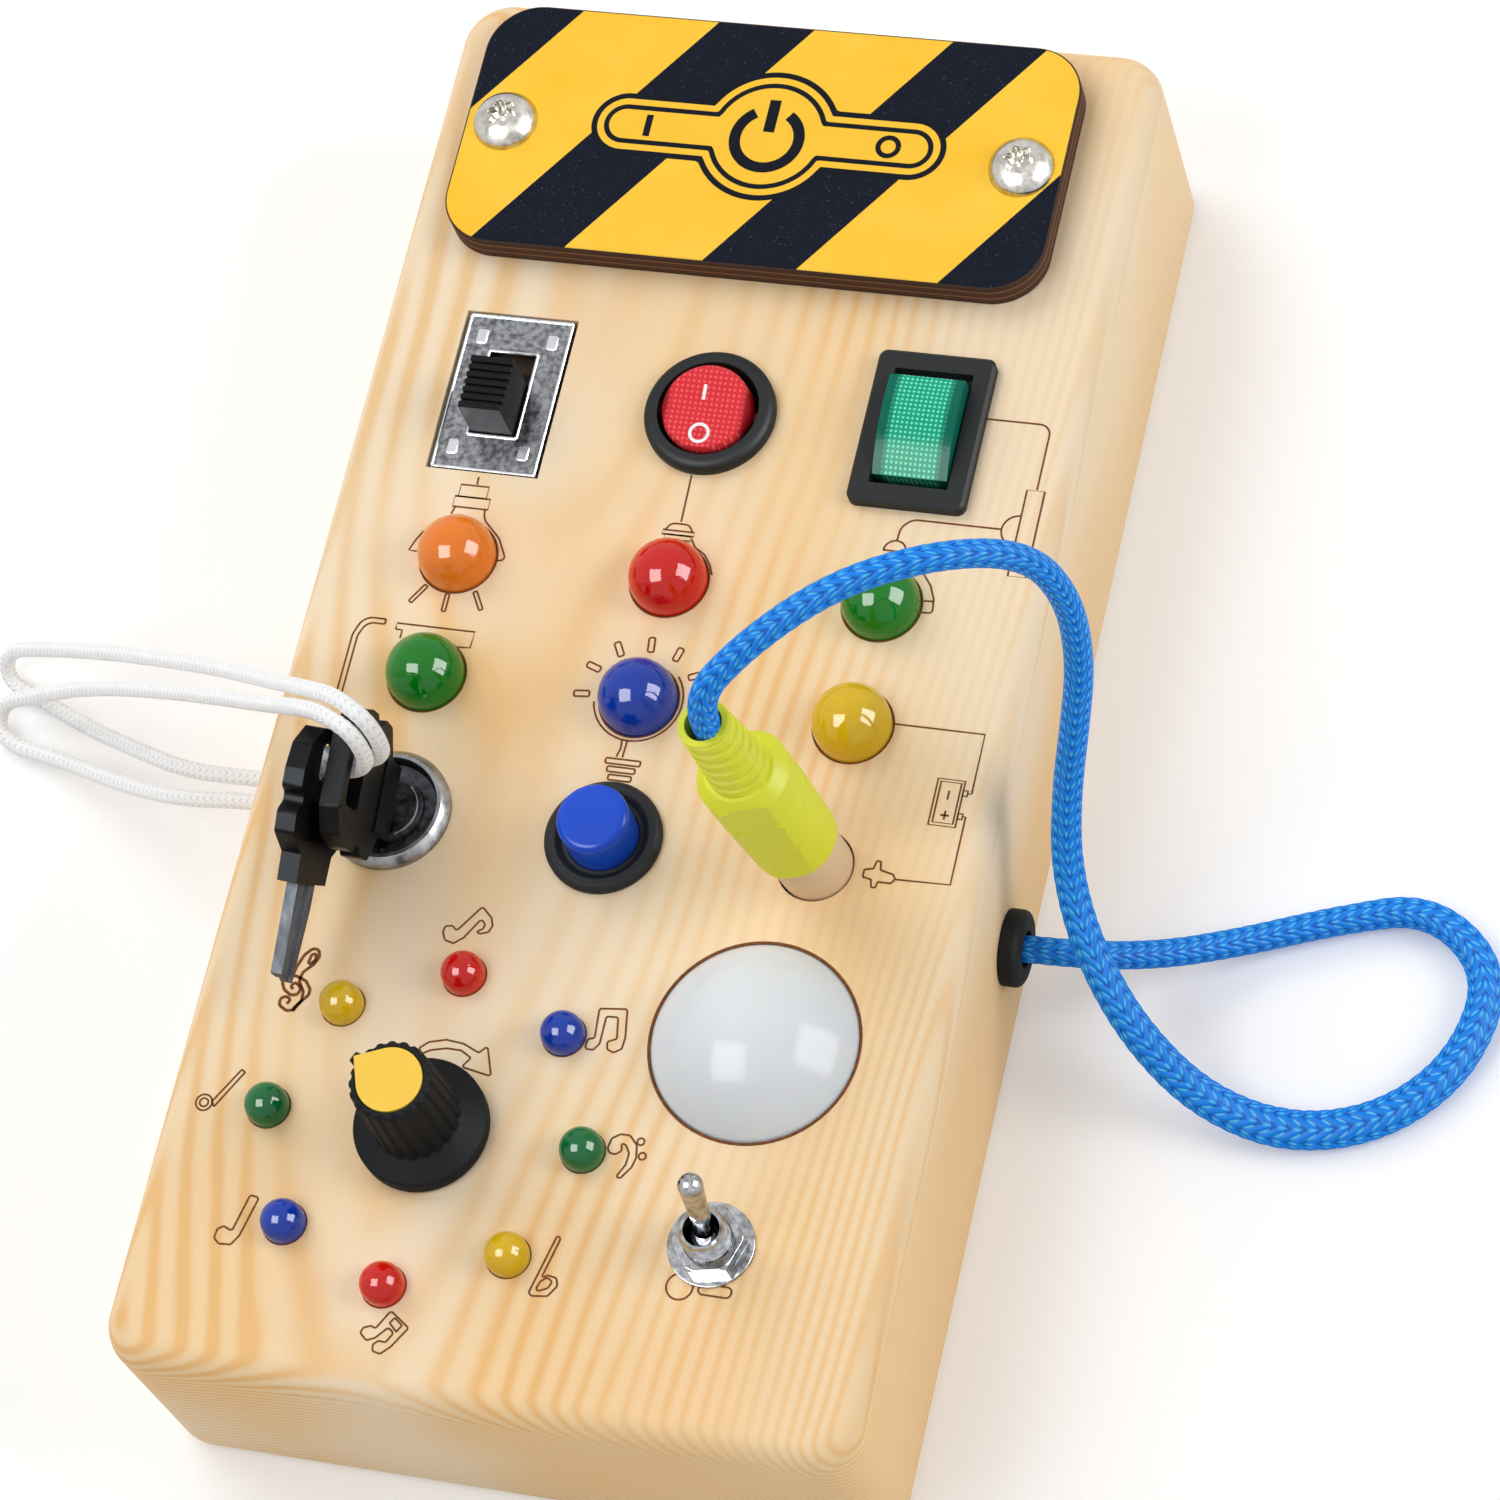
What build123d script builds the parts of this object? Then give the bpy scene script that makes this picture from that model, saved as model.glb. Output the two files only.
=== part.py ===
from build123d import *
import os
from math import atan2, cos, degrees, radians, sin, sqrt, tan

# A wooden busy board lying on its back. X runs across the board, Y along it
# towards the striped plaque, Z out of its face. The origin is the middle of the
# flat back. All lengths are in millimetres.

# --- wooden body -------------------------------------------------------------
board_width = 96.0
board_length = 194.0
board_thickness = 32.4
front_wall = 5.0
edge_round = 3.5
back_edge_round = 2.0
corner_round = 6.5
cavity_gap = 0.1
bottom_wall = 8.0
top_block = 31.0
cavity_corner = 14.0
panel_thickness = 3.0
panel_ledge = 2.5
panel_corner = 3.0
panel_gap = 0.3
slip_gap = 0.1
seat_gap = 0.05

face_z = board_thickness
wall_z = board_thickness - front_wall
half_width = board_width / 2
half_length = board_length / 2

# --- places on the face ------------------------------------------------------
left_x = -28.7
middle_x = -0.4
right_x = 27.5
square_x = 27.7
square_rise = 0.35
knob_x = -13.6
dome_x = 24.6
dome_drop = 23.9
toggle_x = 25.3
toggle_drop = 26.2
top_margin = 3.4
bottom_margin = 11.5

# --- striped plaque ----------------------------------------------------------
plaque_width = 81.0
plaque_height = 35.8
plaque_thickness = 4.1
plaque_corner = 7.0
plaque_x = -1.6
plaque_screw_x = 35.0
plaque_screw_head_r = 4.35
plaque_screw_head_h = 2.5
plaque_screw_shank_r = 1.5
plaque_screw_length = 14.0

# --- indicator lamps ---------------------------------------------------------
lamp_r = 5.0
lamp_rise = 1.0
lamp_flange = 0.6
lamp_flange_h = 1.0
lead_size = 0.5
lead_length = 4.0
lead_pitch = 2.54
small_lamp_ring_radius = 20.4
small_lamp_r = 2.5
small_lamp_rise = 1.2
small_lamp_flange = 0.4
small_lead_length = 2.0
ring_board_size = 46.0
ring_board_h = 1.6
ring_board_hole_r = 9.0

# --- white dome lamp ---------------------------------------------------------
dome_r = 12.9
dome_height = 7.3
dome_wall = 1.2
dome_flange = 2.4
dome_flange_h = 1.2
dome_board_h = 1.6
dome_bulb_r = 2.5
dome_bulb_h = 3.0

# --- slide switch ------------------------------------------------------------
slide_plate_w = 14.3
slide_plate_l = 22.6
slide_plate_t = 0.5
slide_pocket_w = 15.3
slide_pocket_l = 23.1
slide_recess = 0.2
slide_can_depth = 6.0
slide_window_w = 6.3
slide_window_l = 11.9
slide_knob_w = 5.8
slide_knob_l = 7.6
slide_knob_h = 7.0
slide_travel = 4.1
slide_rib_count = 7
slide_runner_w = 9.5
slide_runner_l = 11.0
slide_runner_t = 1.2
slide_base_lip = 1.2
slide_base_t = 1.6

# --- round rocker switch -----------------------------------------------------
round_bezel_r = 8.6
round_bezel_h = 2.0
round_hole_r = 7.6
round_button_r = 5.9
round_button_ball = 6.4
round_button_h = 3.6
rocker_depth = 13.0
rocker_tilt = 9.0
rocker_slack = 0.25
terminal_w = 4.8
terminal_t = 0.8
terminal_l = 7.0
terminal_pitch = 7.0
trunnion_r = 1.0
trunnion_l = 0.8

# --- square rocker switch ----------------------------------------------------
square_bezel_w = 15.4
square_bezel_l = 21.7
square_bezel_h = 1.8
square_body_w = 13.0
square_body_l = 19.0
square_opening_w = 10.3
square_opening_l = 16.4
square_button_w = 9.8
square_button_l = 13.4
square_button_h = 4.3
square_button_crown = 1.3

# --- push button -------------------------------------------------------------
push_bezel_r = 7.5
push_bezel_h = 1.4
push_thread_r = 6.0
push_cap_r = 4.6
push_cap_h = 6.8
push_travel = 2.5
push_depth = 15.0

# --- key lock ----------------------------------------------------------------
lock_ring_r = 8.0
lock_ring_h = 2.0
lock_dish_r = 6.2
lock_thread_r = 6.0
lock_core_r = 4.6
lock_core_rise = 1.4
lock_depth = 15.0
key_bow_w = 17.6
key_bow_l = 15.6
key_bow_t = 2.6
key_collar_w = 10.0
key_collar_l = 3.6
key_blade_w = 5.6
key_blade_t = 1.5
key_blade_l = 12.4
key_slot_w = 8.0
key_slot_l = 4.6
key_rim = 1.8
key_stand = 1.0
key_lean = 11.0
key_two_x = -31.9
key_two_ahead = 2.4
key_two_top = 18.5
key_two_droop = 22.0
key_two_swing = 4.0

# --- plug and jack -----------------------------------------------------------
plug_x = 26.9
plug_rise = 0.1
plug_lean_x = -0.107
plug_lean_y = -0.03
plug_hole_r = 4.9
plug_collar_r = 4.6
plug_collar_l = 8.0
plug_collar_sink = 1.2
plug_body_r = 5.8
plug_body_low_r = 5.5
plug_body_l = 20.0
plug_relief_r = 3.9
plug_relief_end_r = 3.1
plug_length = 42.7
plug_rib_count = 6
plug_pin_r = 1.75
plug_pin_l = 13.0
jack_size = 10.0
jack_depth = 9.0
jack_wedge_t = 2.0

# --- knob and potentiometer --------------------------------------------------
knob_skirt_r = 8.4
knob_skirt_h = 2.2
knob_cone_h = 1.7
knob_gap = 0.5
knob_foot_r = 5.65
knob_top_r = 5.15
knob_height = 16.3
knob_flute_count = 20
knob_flute_r = 0.65
knob_flute_depth = 0.25
knob_hollow_gap = 1.65
knob_bore_depth = 11.0
knob_pointer_angle = 155.7
cap_r = 4.1
cap_tip = 5.6
cap_h = 0.7
cap_sink = 0.5
pot_body_r = 8.2
pot_body_h = 8.0
pot_bush_r = 3.3
pot_nut_wall = 0.75
pot_shaft_r = 3.0

# --- toggle switch -----------------------------------------------------------
toggle_washer_r = 5.4
toggle_washer_h = 0.6
toggle_nut_af = 8.0
toggle_nut_h = 2.0
toggle_bush_r = 3.0
toggle_bush_h = 6.0
toggle_bore_r = 2.2
toggle_lever_r = 1.3
toggle_lever_tip_r = 1.55
toggle_lever_l = 13.5
toggle_pivot_h = 2.5
toggle_tilt = 11.4
toggle_body_w = 8.0
toggle_body_l = 13.0
toggle_body_h = 9.0

# --- nuts behind the face ----------------------------------------------------
nut_h = 2.4
nut_wall = 2.0

# --- cord and lanyard exits --------------------------------------------------
cord_r = 2.2
grommet_drop = 0.2
grommet_z = 14.1
grommet_flange_r = 4.9
grommet_flange_h = 2.6
grommet_sleeve_r = 3.6
lanyard_r = 1.05
lanyard_hole_z = 16.2
lanyard_hole_a_y = -12.7
lanyard_hole_b_y = -15.9
lanyard_hole_floor = 3.0

# --- battery box -------------------------------------------------------------
battery_drop = 0.8
cell_r = 5.2
cell_l = 44.5
cell_count = 3
cell_pitch = 10.9
tray_wall = 1.6
latch_wall = 6.0
tray_end_room = 3.2
tray_lip = 2.0
tray_lip_t = 1.2
tray_depth = 12.6
cover_t = 2.4
cover_recess = 0.4
cover_gap = 0.3
hinge_pin_r = 0.8
hinge_ear = 2.0
cover_screw_r = 1.0
cover_screw_head_r = 2.0
cover_screw_grip = 5.0


# --- places along the face ---------------------------------------------------
# From the bottom edge up: the ring of small lamps, the controls, two rows of
# lamps, the switches and the plaque. The length that they leave free is split
# between them in the proportion of row_gaps.
ring_group = 2 * (small_lamp_ring_radius + small_lamp_r + small_lamp_flange)
control_group = 2 * lock_ring_r
lamp_group = 2 * (lamp_r + lamp_flange)
switch_group = slide_pocket_l + 2 * slide_base_lip
row_gaps = (9.4, 5.5, 5.6, 5.35, 6.95)
cavity_width = 2 * (dome_x + dome_r + dome_flange + cavity_gap)
side_wall = (board_width - cavity_width) / 2
groups = ring_group + control_group + 2 * lamp_group + switch_group + plaque_height
free_length = board_length - bottom_margin - top_margin - groups
gap_scale = free_length / sum(row_gaps)

knob_y = -half_length + bottom_margin + ring_group / 2
control_row_y = knob_y + ring_group / 2 + row_gaps[0] * gap_scale + control_group / 2
lamp_row_2_y = control_row_y + control_group / 2 + row_gaps[1] * gap_scale + lamp_group / 2
lamp_row_1_y = lamp_row_2_y + lamp_group + row_gaps[2] * gap_scale
switch_row_y = lamp_row_1_y + lamp_group / 2 + row_gaps[3] * gap_scale + switch_group / 2
plaque_y = half_length - top_margin - plaque_height / 2
square_y = switch_row_y + square_rise
dome_y = control_row_y - dome_drop
toggle_y = dome_y - toggle_drop
plug_y = control_row_y + plug_rise
grommet_y = control_row_y - grommet_drop
battery_y = (switch_row_y + control_row_y) / 2 - battery_drop
lanyard_hole_depth = side_wall - lanyard_hole_floor


def save(name, shape):
    """Writes one node to its own file."""
    export_step(shape, "parts/" + name + ".step")


def rod(radius, low, high, x=0.0, y=0.0):
    """A cylinder along Z from height low to height high."""
    return Pos(x, y, (low + high) / 2) * Cylinder(radius, high - low)


def block(width, length, low, high, x=0.0, y=0.0):
    """A box centred on x, y from height low to height high."""
    return Pos(x, y, (low + high) / 2) * Box(width, length, high - low)


def rounded_block(width, length, radius, low, high, x=0.0, y=0.0):
    """A box with rounded upright edges."""
    outline = RectangleRounded(width, length, radius)
    return Pos(x, y, low) * extrude(outline, high - low)


def turned(points):
    """A solid of revolution about Z from a closed profile of radius and height."""
    face = make_face(Polyline(*[(r, 0, z) for r, z in points], close=True))
    return revolve(face, Axis.Z)


def hex_nut(across_flats, bore_r, low, high):
    """A hexagon nut along Z, its corners slightly broken."""
    corner_r = across_flats / 2 / cos(radians(30))
    nut = Pos(0, 0, low) * extrude(RegularPolygon(corner_r, 6), high - low)
    return nut - rod(bore_r, low, high)


# --- body --------------------------------------------------------------------

cavity_low_y = -half_length + bottom_wall
cavity_high_y = half_length - top_block
cavity_y = (cavity_low_y + cavity_high_y) / 2
cavity_l = cavity_high_y - cavity_low_y
panel_screw_inset = 0.8
panel_screw_x = cavity_width / 2 - panel_screw_inset
panel_screw_ys = (cavity_low_y + panel_screw_inset, cavity_high_y - panel_screw_inset)
panel_screw_r = 1.25
panel_screw_head_r = 2.6
panel_screw_l = 13.0


def small_lamp_places():
    """The eight small lamps stand on a circle round the knob."""
    ring = range(8)
    return [(knob_x + small_lamp_ring_radius * cos(radians(45 * i)),
             knob_y + small_lamp_ring_radius * sin(radians(45 * i))) for i in ring]


lamp_places = {
    "lamp_orange": (left_x, lamp_row_1_y),
    "lamp_red": (middle_x, lamp_row_1_y),
    "lamp_green_right": (right_x, lamp_row_1_y),
    "lamp_green_left": (left_x, lamp_row_2_y),
    "lamp_blue": (middle_x, lamp_row_2_y),
    "lamp_yellow": (right_x, lamp_row_2_y),
}


def housing():
    """The wooden block: rounded outside, routed hollow from behind, drilled for each control."""
    body = extrude(RectangleRounded(board_width, board_length, corner_round), board_thickness)
    body = fillet(body.edges().group_by(Axis.Z)[-1], edge_round)
    body = fillet(body.edges().group_by(Axis.Z)[0], back_edge_round)
    body -= rounded_block(cavity_width, cavity_l, cavity_corner, 0, wall_z, 0, cavity_y)
    ledge_w = cavity_width + 2 * panel_ledge
    ledge_l = cavity_l + 2 * panel_ledge
    body -= rounded_block(ledge_w, ledge_l, panel_corner, 0, panel_thickness, 0, cavity_y)
    body -= block(slide_pocket_w, slide_pocket_l, 0, face_z, left_x, switch_row_y)
    square_cut = block(square_body_w + 2 * slip_gap, square_body_l + 2 * slip_gap, 0, face_z)
    body -= Pos(square_x, square_y, 0) * square_cut
    holes = [(round_hole_r, middle_x, switch_row_y), (push_thread_r + slip_gap, middle_x, control_row_y),
             (lock_thread_r + slip_gap, left_x, control_row_y), (plug_hole_r, plug_x, plug_y),
             (pot_bush_r + slip_gap, knob_x, knob_y), (dome_r + slip_gap, dome_x, dome_y),
             (toggle_bush_r + slip_gap, toggle_x, toggle_y)]
    holes += [(lamp_r + slip_gap, x, y) for x, y in lamp_places.values()]
    holes += [(small_lamp_r + slip_gap, x, y) for x, y in small_lamp_places()]
    for radius, x, y in holes:
        body -= rod(radius, wall_z, face_z, x, y)
    grommet_hole = Rot(0, 90, 0) * Cylinder(grommet_sleeve_r + slip_gap, side_wall)
    body -= Pos(half_width - side_wall / 2, grommet_y, grommet_z) * grommet_hole
    for y in (lanyard_hole_a_y, lanyard_hole_b_y):
        hole = Rot(0, 90, 0) * Cylinder(lanyard_r + slip_gap, lanyard_hole_depth)
        body -= Pos(-half_width + lanyard_hole_depth / 2, y, lanyard_hole_z) * hole
    pilot_low = face_z + plaque_thickness - plaque_screw_length
    for side in (-1, 1):
        x = plaque_x + side * plaque_screw_x
        body -= rod(plaque_screw_shank_r, pilot_low, face_z, x, plaque_y)
        for y in panel_screw_ys:
            body -= rod(panel_screw_r, 0, panel_screw_l, side * panel_screw_x, y)
    return body


def plaque():
    """The striped plate: three laminated layers with rounded corners and two screw holes."""
    plate = rounded_block(plaque_width, plaque_height, plaque_corner, face_z, face_z + plaque_thickness)
    for side in (-1, 1):
        plate -= rod(plaque_screw_shank_r + slip_gap, face_z, face_z + plaque_thickness,
                     side * plaque_screw_x)
    return Pos(plaque_x, plaque_y, 0) * plate


def plaque_screws():
    """Two button-head screws with a star socket."""
    top = face_z + plaque_thickness
    r, h = plaque_screw_head_r, plaque_screw_head_h
    ball = (r * r + h * h) / 2 / h
    head = Pos(0, 0, top + h - ball) * Sphere(ball)
    head &= rod(r, top, top + h)
    socket = rod(r * 0.32, top + h * 0.35, top + h)
    for i in range(6):
        angle = radians(60 * i)
        socket += rod(r * 0.12, top + h * 0.35, top + h, r * 0.36 * cos(angle), r * 0.36 * sin(angle))
    shank = rod(plaque_screw_shank_r, top - plaque_screw_length, top)
    screw = head - socket + shank
    places = [Pos(plaque_x + side * plaque_screw_x, plaque_y, 0) for side in (-1, 1)]
    return Compound(children=[place * screw for place in places])


# --- back panel and battery box ----------------------------------------------

cell_row = cell_pitch * cell_count
bay_w = cell_l + 2 * tray_end_room
bay_l = cell_row + 0.8
bay_x = (tray_wall - latch_wall) / 2
opening_w = bay_w + tray_wall + latch_wall
opening_l = bay_l + 2 * tray_wall
cover_w = opening_w - 2 * cover_gap
cover_l = opening_l - 2 * cover_gap
hinge_r = cover_t / 2
hinge_x = -cover_w / 2 + hinge_r
hinge_z = cover_recess + hinge_r
hinge_pin_l = 1.6
hinge_ear_y = cover_l / 4
cover_screw_x = (opening_w - latch_wall) / 2
tray_z = panel_thickness
tray_top = tray_z + tray_depth
cell_z = tray_top - tray_wall - cell_r - 0.4


def back_panel():
    """The panel that closes the back, with the battery opening and countersunk holes."""
    width = cavity_width + 2 * (panel_ledge - panel_gap)
    length = cavity_l + 2 * (panel_ledge - panel_gap)
    panel = rounded_block(width, length, panel_corner - panel_gap, 0, panel_thickness, 0, cavity_y)
    panel -= block(opening_w, opening_l, 0, panel_thickness, 0, battery_y)
    for side in (-1, 1):
        for y in panel_screw_ys:
            panel -= Pos(side * panel_screw_x, y, 0) * screw_seat(slip_gap)
    return panel


def screw_seat(gap):
    """The room that a countersunk screw takes in the panel."""
    cone_h = panel_screw_head_r - panel_screw_r
    cone = Pos(0, 0, cone_h / 2) * Cone(panel_screw_head_r + gap, panel_screw_r + gap, cone_h)
    return cone + rod(panel_screw_r + gap, 0, panel_thickness)


def back_screws():
    """Four countersunk screws with a cross slot."""
    cone_h = panel_screw_head_r - panel_screw_r
    screw = Pos(0, 0, cone_h / 2) * Cone(panel_screw_head_r, panel_screw_r, cone_h)
    screw += rod(panel_screw_r, cone_h, panel_screw_l)
    screw -= block(3.0, 0.6, 0, 0.8) + block(0.6, 3.0, 0, 0.8)
    places = [Pos(side * panel_screw_x, y, 0) for side in (-1, 1) for y in panel_screw_ys]
    return Compound(children=[place * screw for place in places])


def battery_tray():
    """The plastic box for the cells, with the ears of the cover's hinge."""
    tray = rounded_block(opening_w + 2 * tray_lip, opening_l + 2 * tray_lip, 2.0, tray_z, tray_z + tray_lip_t)
    tray += block(opening_w, opening_l, tray_z, tray_top)
    tray -= block(bay_w, bay_l, tray_z, tray_top - tray_wall, bay_x, 0)
    tray -= rod(cover_screw_r, tray_z, tray_z + cover_screw_grip, cover_screw_x, 0)
    ear_low = hinge_z - hinge_r
    for side in (-1, 1):
        ear = block(2 * hinge_r, hinge_ear, hinge_z, tray_z + tray_lip_t)
        barrel = Pos(0, 0, hinge_z) * Rot(90, 0, 0) * Cylinder(hinge_r, hinge_ear)
        ear += barrel
        pin = Pos(0, 0, hinge_z) * Rot(90, 0, 0) * Cylinder(hinge_pin_r + seat_gap, hinge_ear)
        tray += Pos(hinge_x, side * hinge_ear_y, 0) * (ear - pin)
    return Pos(0, battery_y, 0) * tray


def battery_cover():
    """The door over the cells: a flat lid with a rounded hinge edge, two pins and a finger groove."""
    lid = block(cover_w - hinge_r, cover_l, cover_recess, cover_recess + cover_t, hinge_r / 2, 0)
    lid += Pos(hinge_x, 0, hinge_z) * Rot(90, 0, 0) * Cylinder(hinge_r, cover_l)
    notch = hinge_ear + 2 * cover_gap
    for side in (-1, 1):
        gap_box = block(2 * hinge_r + cover_gap, notch, 0, panel_thickness,
                        hinge_x + cover_gap / 2, side * hinge_ear_y)
        lid -= gap_box
        pin = Rot(90, 0, 0) * Cylinder(hinge_pin_r, notch)
        lid += Pos(hinge_x, side * hinge_ear_y, hinge_z) * pin
    for i in range(3):
        lid -= block(0.8, 12.0, 0, cover_recess + 0.5, cover_w / 2 - 8.0 - 2.0 * i, 0)
    lid -= rod(cover_screw_r + slip_gap, cover_recess, panel_thickness, cover_screw_x, 0)
    lid -= rod(cover_screw_head_r + slip_gap, 0, cover_recess + 1.2, cover_screw_x, 0)
    return Pos(0, battery_y, 0) * lid


def battery_cover_screw():
    """The small screw that locks the battery door."""
    screw = rod(cover_screw_head_r, cover_recess, cover_recess + 1.2)
    screw -= block(0.5, 3.0, 0, cover_recess + 0.5)
    screw += rod(cover_screw_r, cover_recess + 1.2, tray_z + cover_screw_grip)
    return Pos(cover_screw_x, battery_y, 0) * screw


def battery_cells():
    """Three round cells side by side, each with its raised contact."""
    cell = Cylinder(cell_r, cell_l - 1.0) + Pos(0, 0, cell_l / 2) * Cylinder(1.9, 1.0)
    row = []
    for i in range(cell_count):
        y = battery_y + (i - (cell_count - 1) / 2) * cell_pitch
        turn = 90 if i % 2 == 0 else -90
        row.append(Pos(bay_x, y, cell_z) * Rot(0, turn, 0) * cell)
    return Compound(children=row)


def battery_contacts():
    """Contact plates at both ends of each cell, with a coned spring at the flat end."""
    row = []
    plate_t = 0.5
    for i in range(cell_count):
        y = battery_y + (i - (cell_count - 1) / 2) * cell_pitch
        for side in (-1, 1):
            plate = Box(plate_t, cell_r * 1.6, cell_r * 1.4)
            x = bay_x + side * (bay_w - plate_t) / 2
            is_flat_end = (side < 0) == (i % 2 == 0)
            if is_flat_end:
                reach = bay_w / 2 - plate_t - (cell_l / 2 - 0.5)
                spring = Rot(0, -side * 90, 0) * Cone(cell_r * 0.62, cell_r * 0.34, reach)
                spring -= Rot(0, -side * 90, 0) * Cone(cell_r * 0.5, cell_r * 0.22, reach)
                plate += Pos(-side * (plate_t + reach) / 2, 0, 0) * spring
            row.append(Pos(x, y, cell_z) * plate)
    return Compound(children=row)


# --- lamps -------------------------------------------------------------------

def leads(length, top):
    """Two square leads below a lamp."""
    wires = [block(lead_size, lead_size, top - length, top, side * lead_pitch / 2) for side in (-1, 1)]
    return wires[0] + wires[1]


def lamp(radius, rise, flange, lead):
    """A round indicator lamp: dome, barrel, flange behind the wall and two leads."""
    body = rod(radius, wall_z - lamp_flange_h, face_z + rise)
    body += Pos(0, 0, face_z + rise) * Sphere(radius)
    body += rod(radius + flange, wall_z - lamp_flange_h, wall_z)
    return body + leads(lead, wall_z - lamp_flange_h)


def ring_board():
    """The circuit board that carries the eight small lamps round the potentiometer."""
    top = wall_z - lamp_flange_h - small_lead_length
    board = rounded_block(ring_board_size, ring_board_size, 3.0, top - ring_board_h, top)
    board -= rod(ring_board_hole_r, top - ring_board_h, top)
    board += rod(ring_board_hole_r + 1.0, top - ring_board_h - 0.6, top - ring_board_h, 0, 0) - \
        rod(ring_board_hole_r, top - ring_board_h - 0.6, top - ring_board_h)
    return Pos(knob_x, knob_y, 0) * board


def dome_cover():
    """The milky cap: a thin spherical shell on a short barrel with a flange behind the wall."""
    outer_ball = (dome_r ** 2 + dome_height ** 2) / 2 / dome_height
    inner_r = dome_r - dome_wall
    inner_h = dome_height - dome_wall
    inner_ball = (inner_r ** 2 + inner_h ** 2) / 2 / inner_h
    low = wall_z - dome_flange_h
    shell = rod(dome_r, low, face_z)
    above = face_z + 2 * dome_height
    shell += Pos(0, 0, face_z + dome_height - outer_ball) * Sphere(outer_ball) & rod(dome_r, face_z, above)
    shell -= rod(inner_r, low, face_z)
    shell -= Pos(0, 0, face_z + inner_h - inner_ball) * Sphere(inner_ball) & rod(inner_r, face_z, above)
    shell += rod(dome_r + dome_flange, low, wall_z) - rod(inner_r, low, wall_z)
    return Pos(dome_x, dome_y, 0) * shell


def dome_lamp():
    """The lamp board behind the milky cap."""
    top = wall_z - dome_flange_h
    board = rod(dome_r + dome_flange, top - dome_board_h, top)
    board += rod(dome_bulb_r, top, top + dome_bulb_h) + Pos(0, 0, top + dome_bulb_h) * Sphere(dome_bulb_r)
    return Pos(dome_x, dome_y, 0) * board


# --- slide switch ------------------------------------------------------------

slide_top = face_z - slide_recess
slide_under = slide_top - slide_plate_t
slide_rest_y = -(slide_window_l - slide_knob_l) / 2 + 0.1


def slide_frame():
    """The folded steel can with the slider's window and four punched tabs."""
    can = block(slide_plate_w, slide_plate_l, slide_top - slide_can_depth, slide_top)
    can -= block(slide_plate_w - 2 * slide_plate_t, slide_plate_l - 2 * slide_plate_t,
                 slide_top - slide_can_depth, slide_under)
    can -= block(slide_window_w, slide_window_l, slide_under, slide_top)
    for side in (-1, 1):
        for end in (-1, 1):
            can -= block(1.2, 1.6, slide_under, slide_top, side * 4.8, end * 8.1)
    return Pos(left_x, switch_row_y, 0) * can


def slide_base():
    """The insulating base under the can; its lip bears on the back of the wooden face."""
    width = slide_plate_w - 2 * slide_plate_t - 2 * slip_gap
    length = slide_plate_l - 2 * slide_plate_t - 2 * slip_gap
    runner_low = slide_under - slip_gap - slide_runner_t - slip_gap
    base = block(width, length, slide_top - slide_can_depth, runner_low)
    low = min(wall_z, slide_top - slide_can_depth)
    base += block(slide_pocket_w + 2 * slide_base_lip, slide_pocket_l + 2 * slide_base_lip,
                  low - slide_base_t, low)
    for i in range(3):
        base += block(1.6, 0.5, low - slide_base_t - 4.0, low - slide_base_t, 0, (i - 1) * 4.7)
    return Pos(left_x, switch_row_y, 0) * base


def slide_knob():
    """The ribbed slider and the runner that holds it under the plate."""
    top = slide_top + slide_knob_h
    low = slide_under - slip_gap
    knob = block(slide_knob_w, slide_knob_l, low, top)
    rib_pitch = slide_knob_l / slide_rib_count
    for i in range(slide_rib_count - 1):
        y = -slide_knob_l / 2 + rib_pitch * (i + 1)
        knob -= block(slide_knob_w, rib_pitch * 0.4, top - 0.6, top, 0, y)
    knob += block(slide_runner_w, slide_runner_l, low - slide_runner_t, low)
    return Pos(left_x, switch_row_y + slide_rest_y, 0) * knob


# --- rocker switches ---------------------------------------------------------

def terminals(top):
    """Two flat terminals under a switch."""
    tab = block(terminal_w, terminal_t, top - terminal_l, top)
    return [Pos(0, side * terminal_pitch / 2, 0) * tab for side in (-1, 1)]


def trunnions(half_width_x, radius, length):
    """Two short pivot pins that stand out to the sides at the pivot's height."""
    pin = Rot(0, 90, 0) * Cylinder(radius, 2 * (half_width_x + length))
    return pin


def round_rocker_housing():
    """Bezel ring and round body with the bowl that the button rocks in."""
    low = face_z - rocker_depth
    bowl_r = round_button_ball + rocker_slack
    body = rod(round_hole_r - slip_gap, low, face_z)
    ring = rod(round_bezel_r, face_z, face_z + round_bezel_h)
    ring = fillet(ring.edges().group_by(Axis.Z)[-1], 1.2)
    body += ring
    body -= Pos(0, 0, face_z) * Sphere(bowl_r)
    body -= rod(bowl_r, face_z, face_z + round_bezel_h)
    body -= Pos(0, 0, face_z) * Rot(0, 90, 0) * Cylinder(trunnion_r + seat_gap, 2 * (round_button_r + trunnion_l + slip_gap))
    return Pos(middle_x, switch_row_y, 0) * body


def round_rocker_button():
    """The red button: a ball zone cut by a shallow V, tilted to its OFF side."""
    button = Sphere(round_button_ball) & rod(round_button_r, -round_button_ball, round_button_h + 2)
    for side in (-1, 1):
        cutter = Pos(0, side * 10, 5) * Box(20, 20, 10)
        button -= Pos(0, 0, round_button_h - 0.6) * Rot(side * rocker_tilt * 0.5, 0, 0) * cutter
    button -= Pos(0, 0, -round_button_ball + 1.5) * Box(20, 20, 3)
    button += trunnions(round_button_r, trunnion_r, trunnion_l)
    return Pos(middle_x, switch_row_y, face_z) * Rot(rocker_tilt, 0, 0) * button


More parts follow.
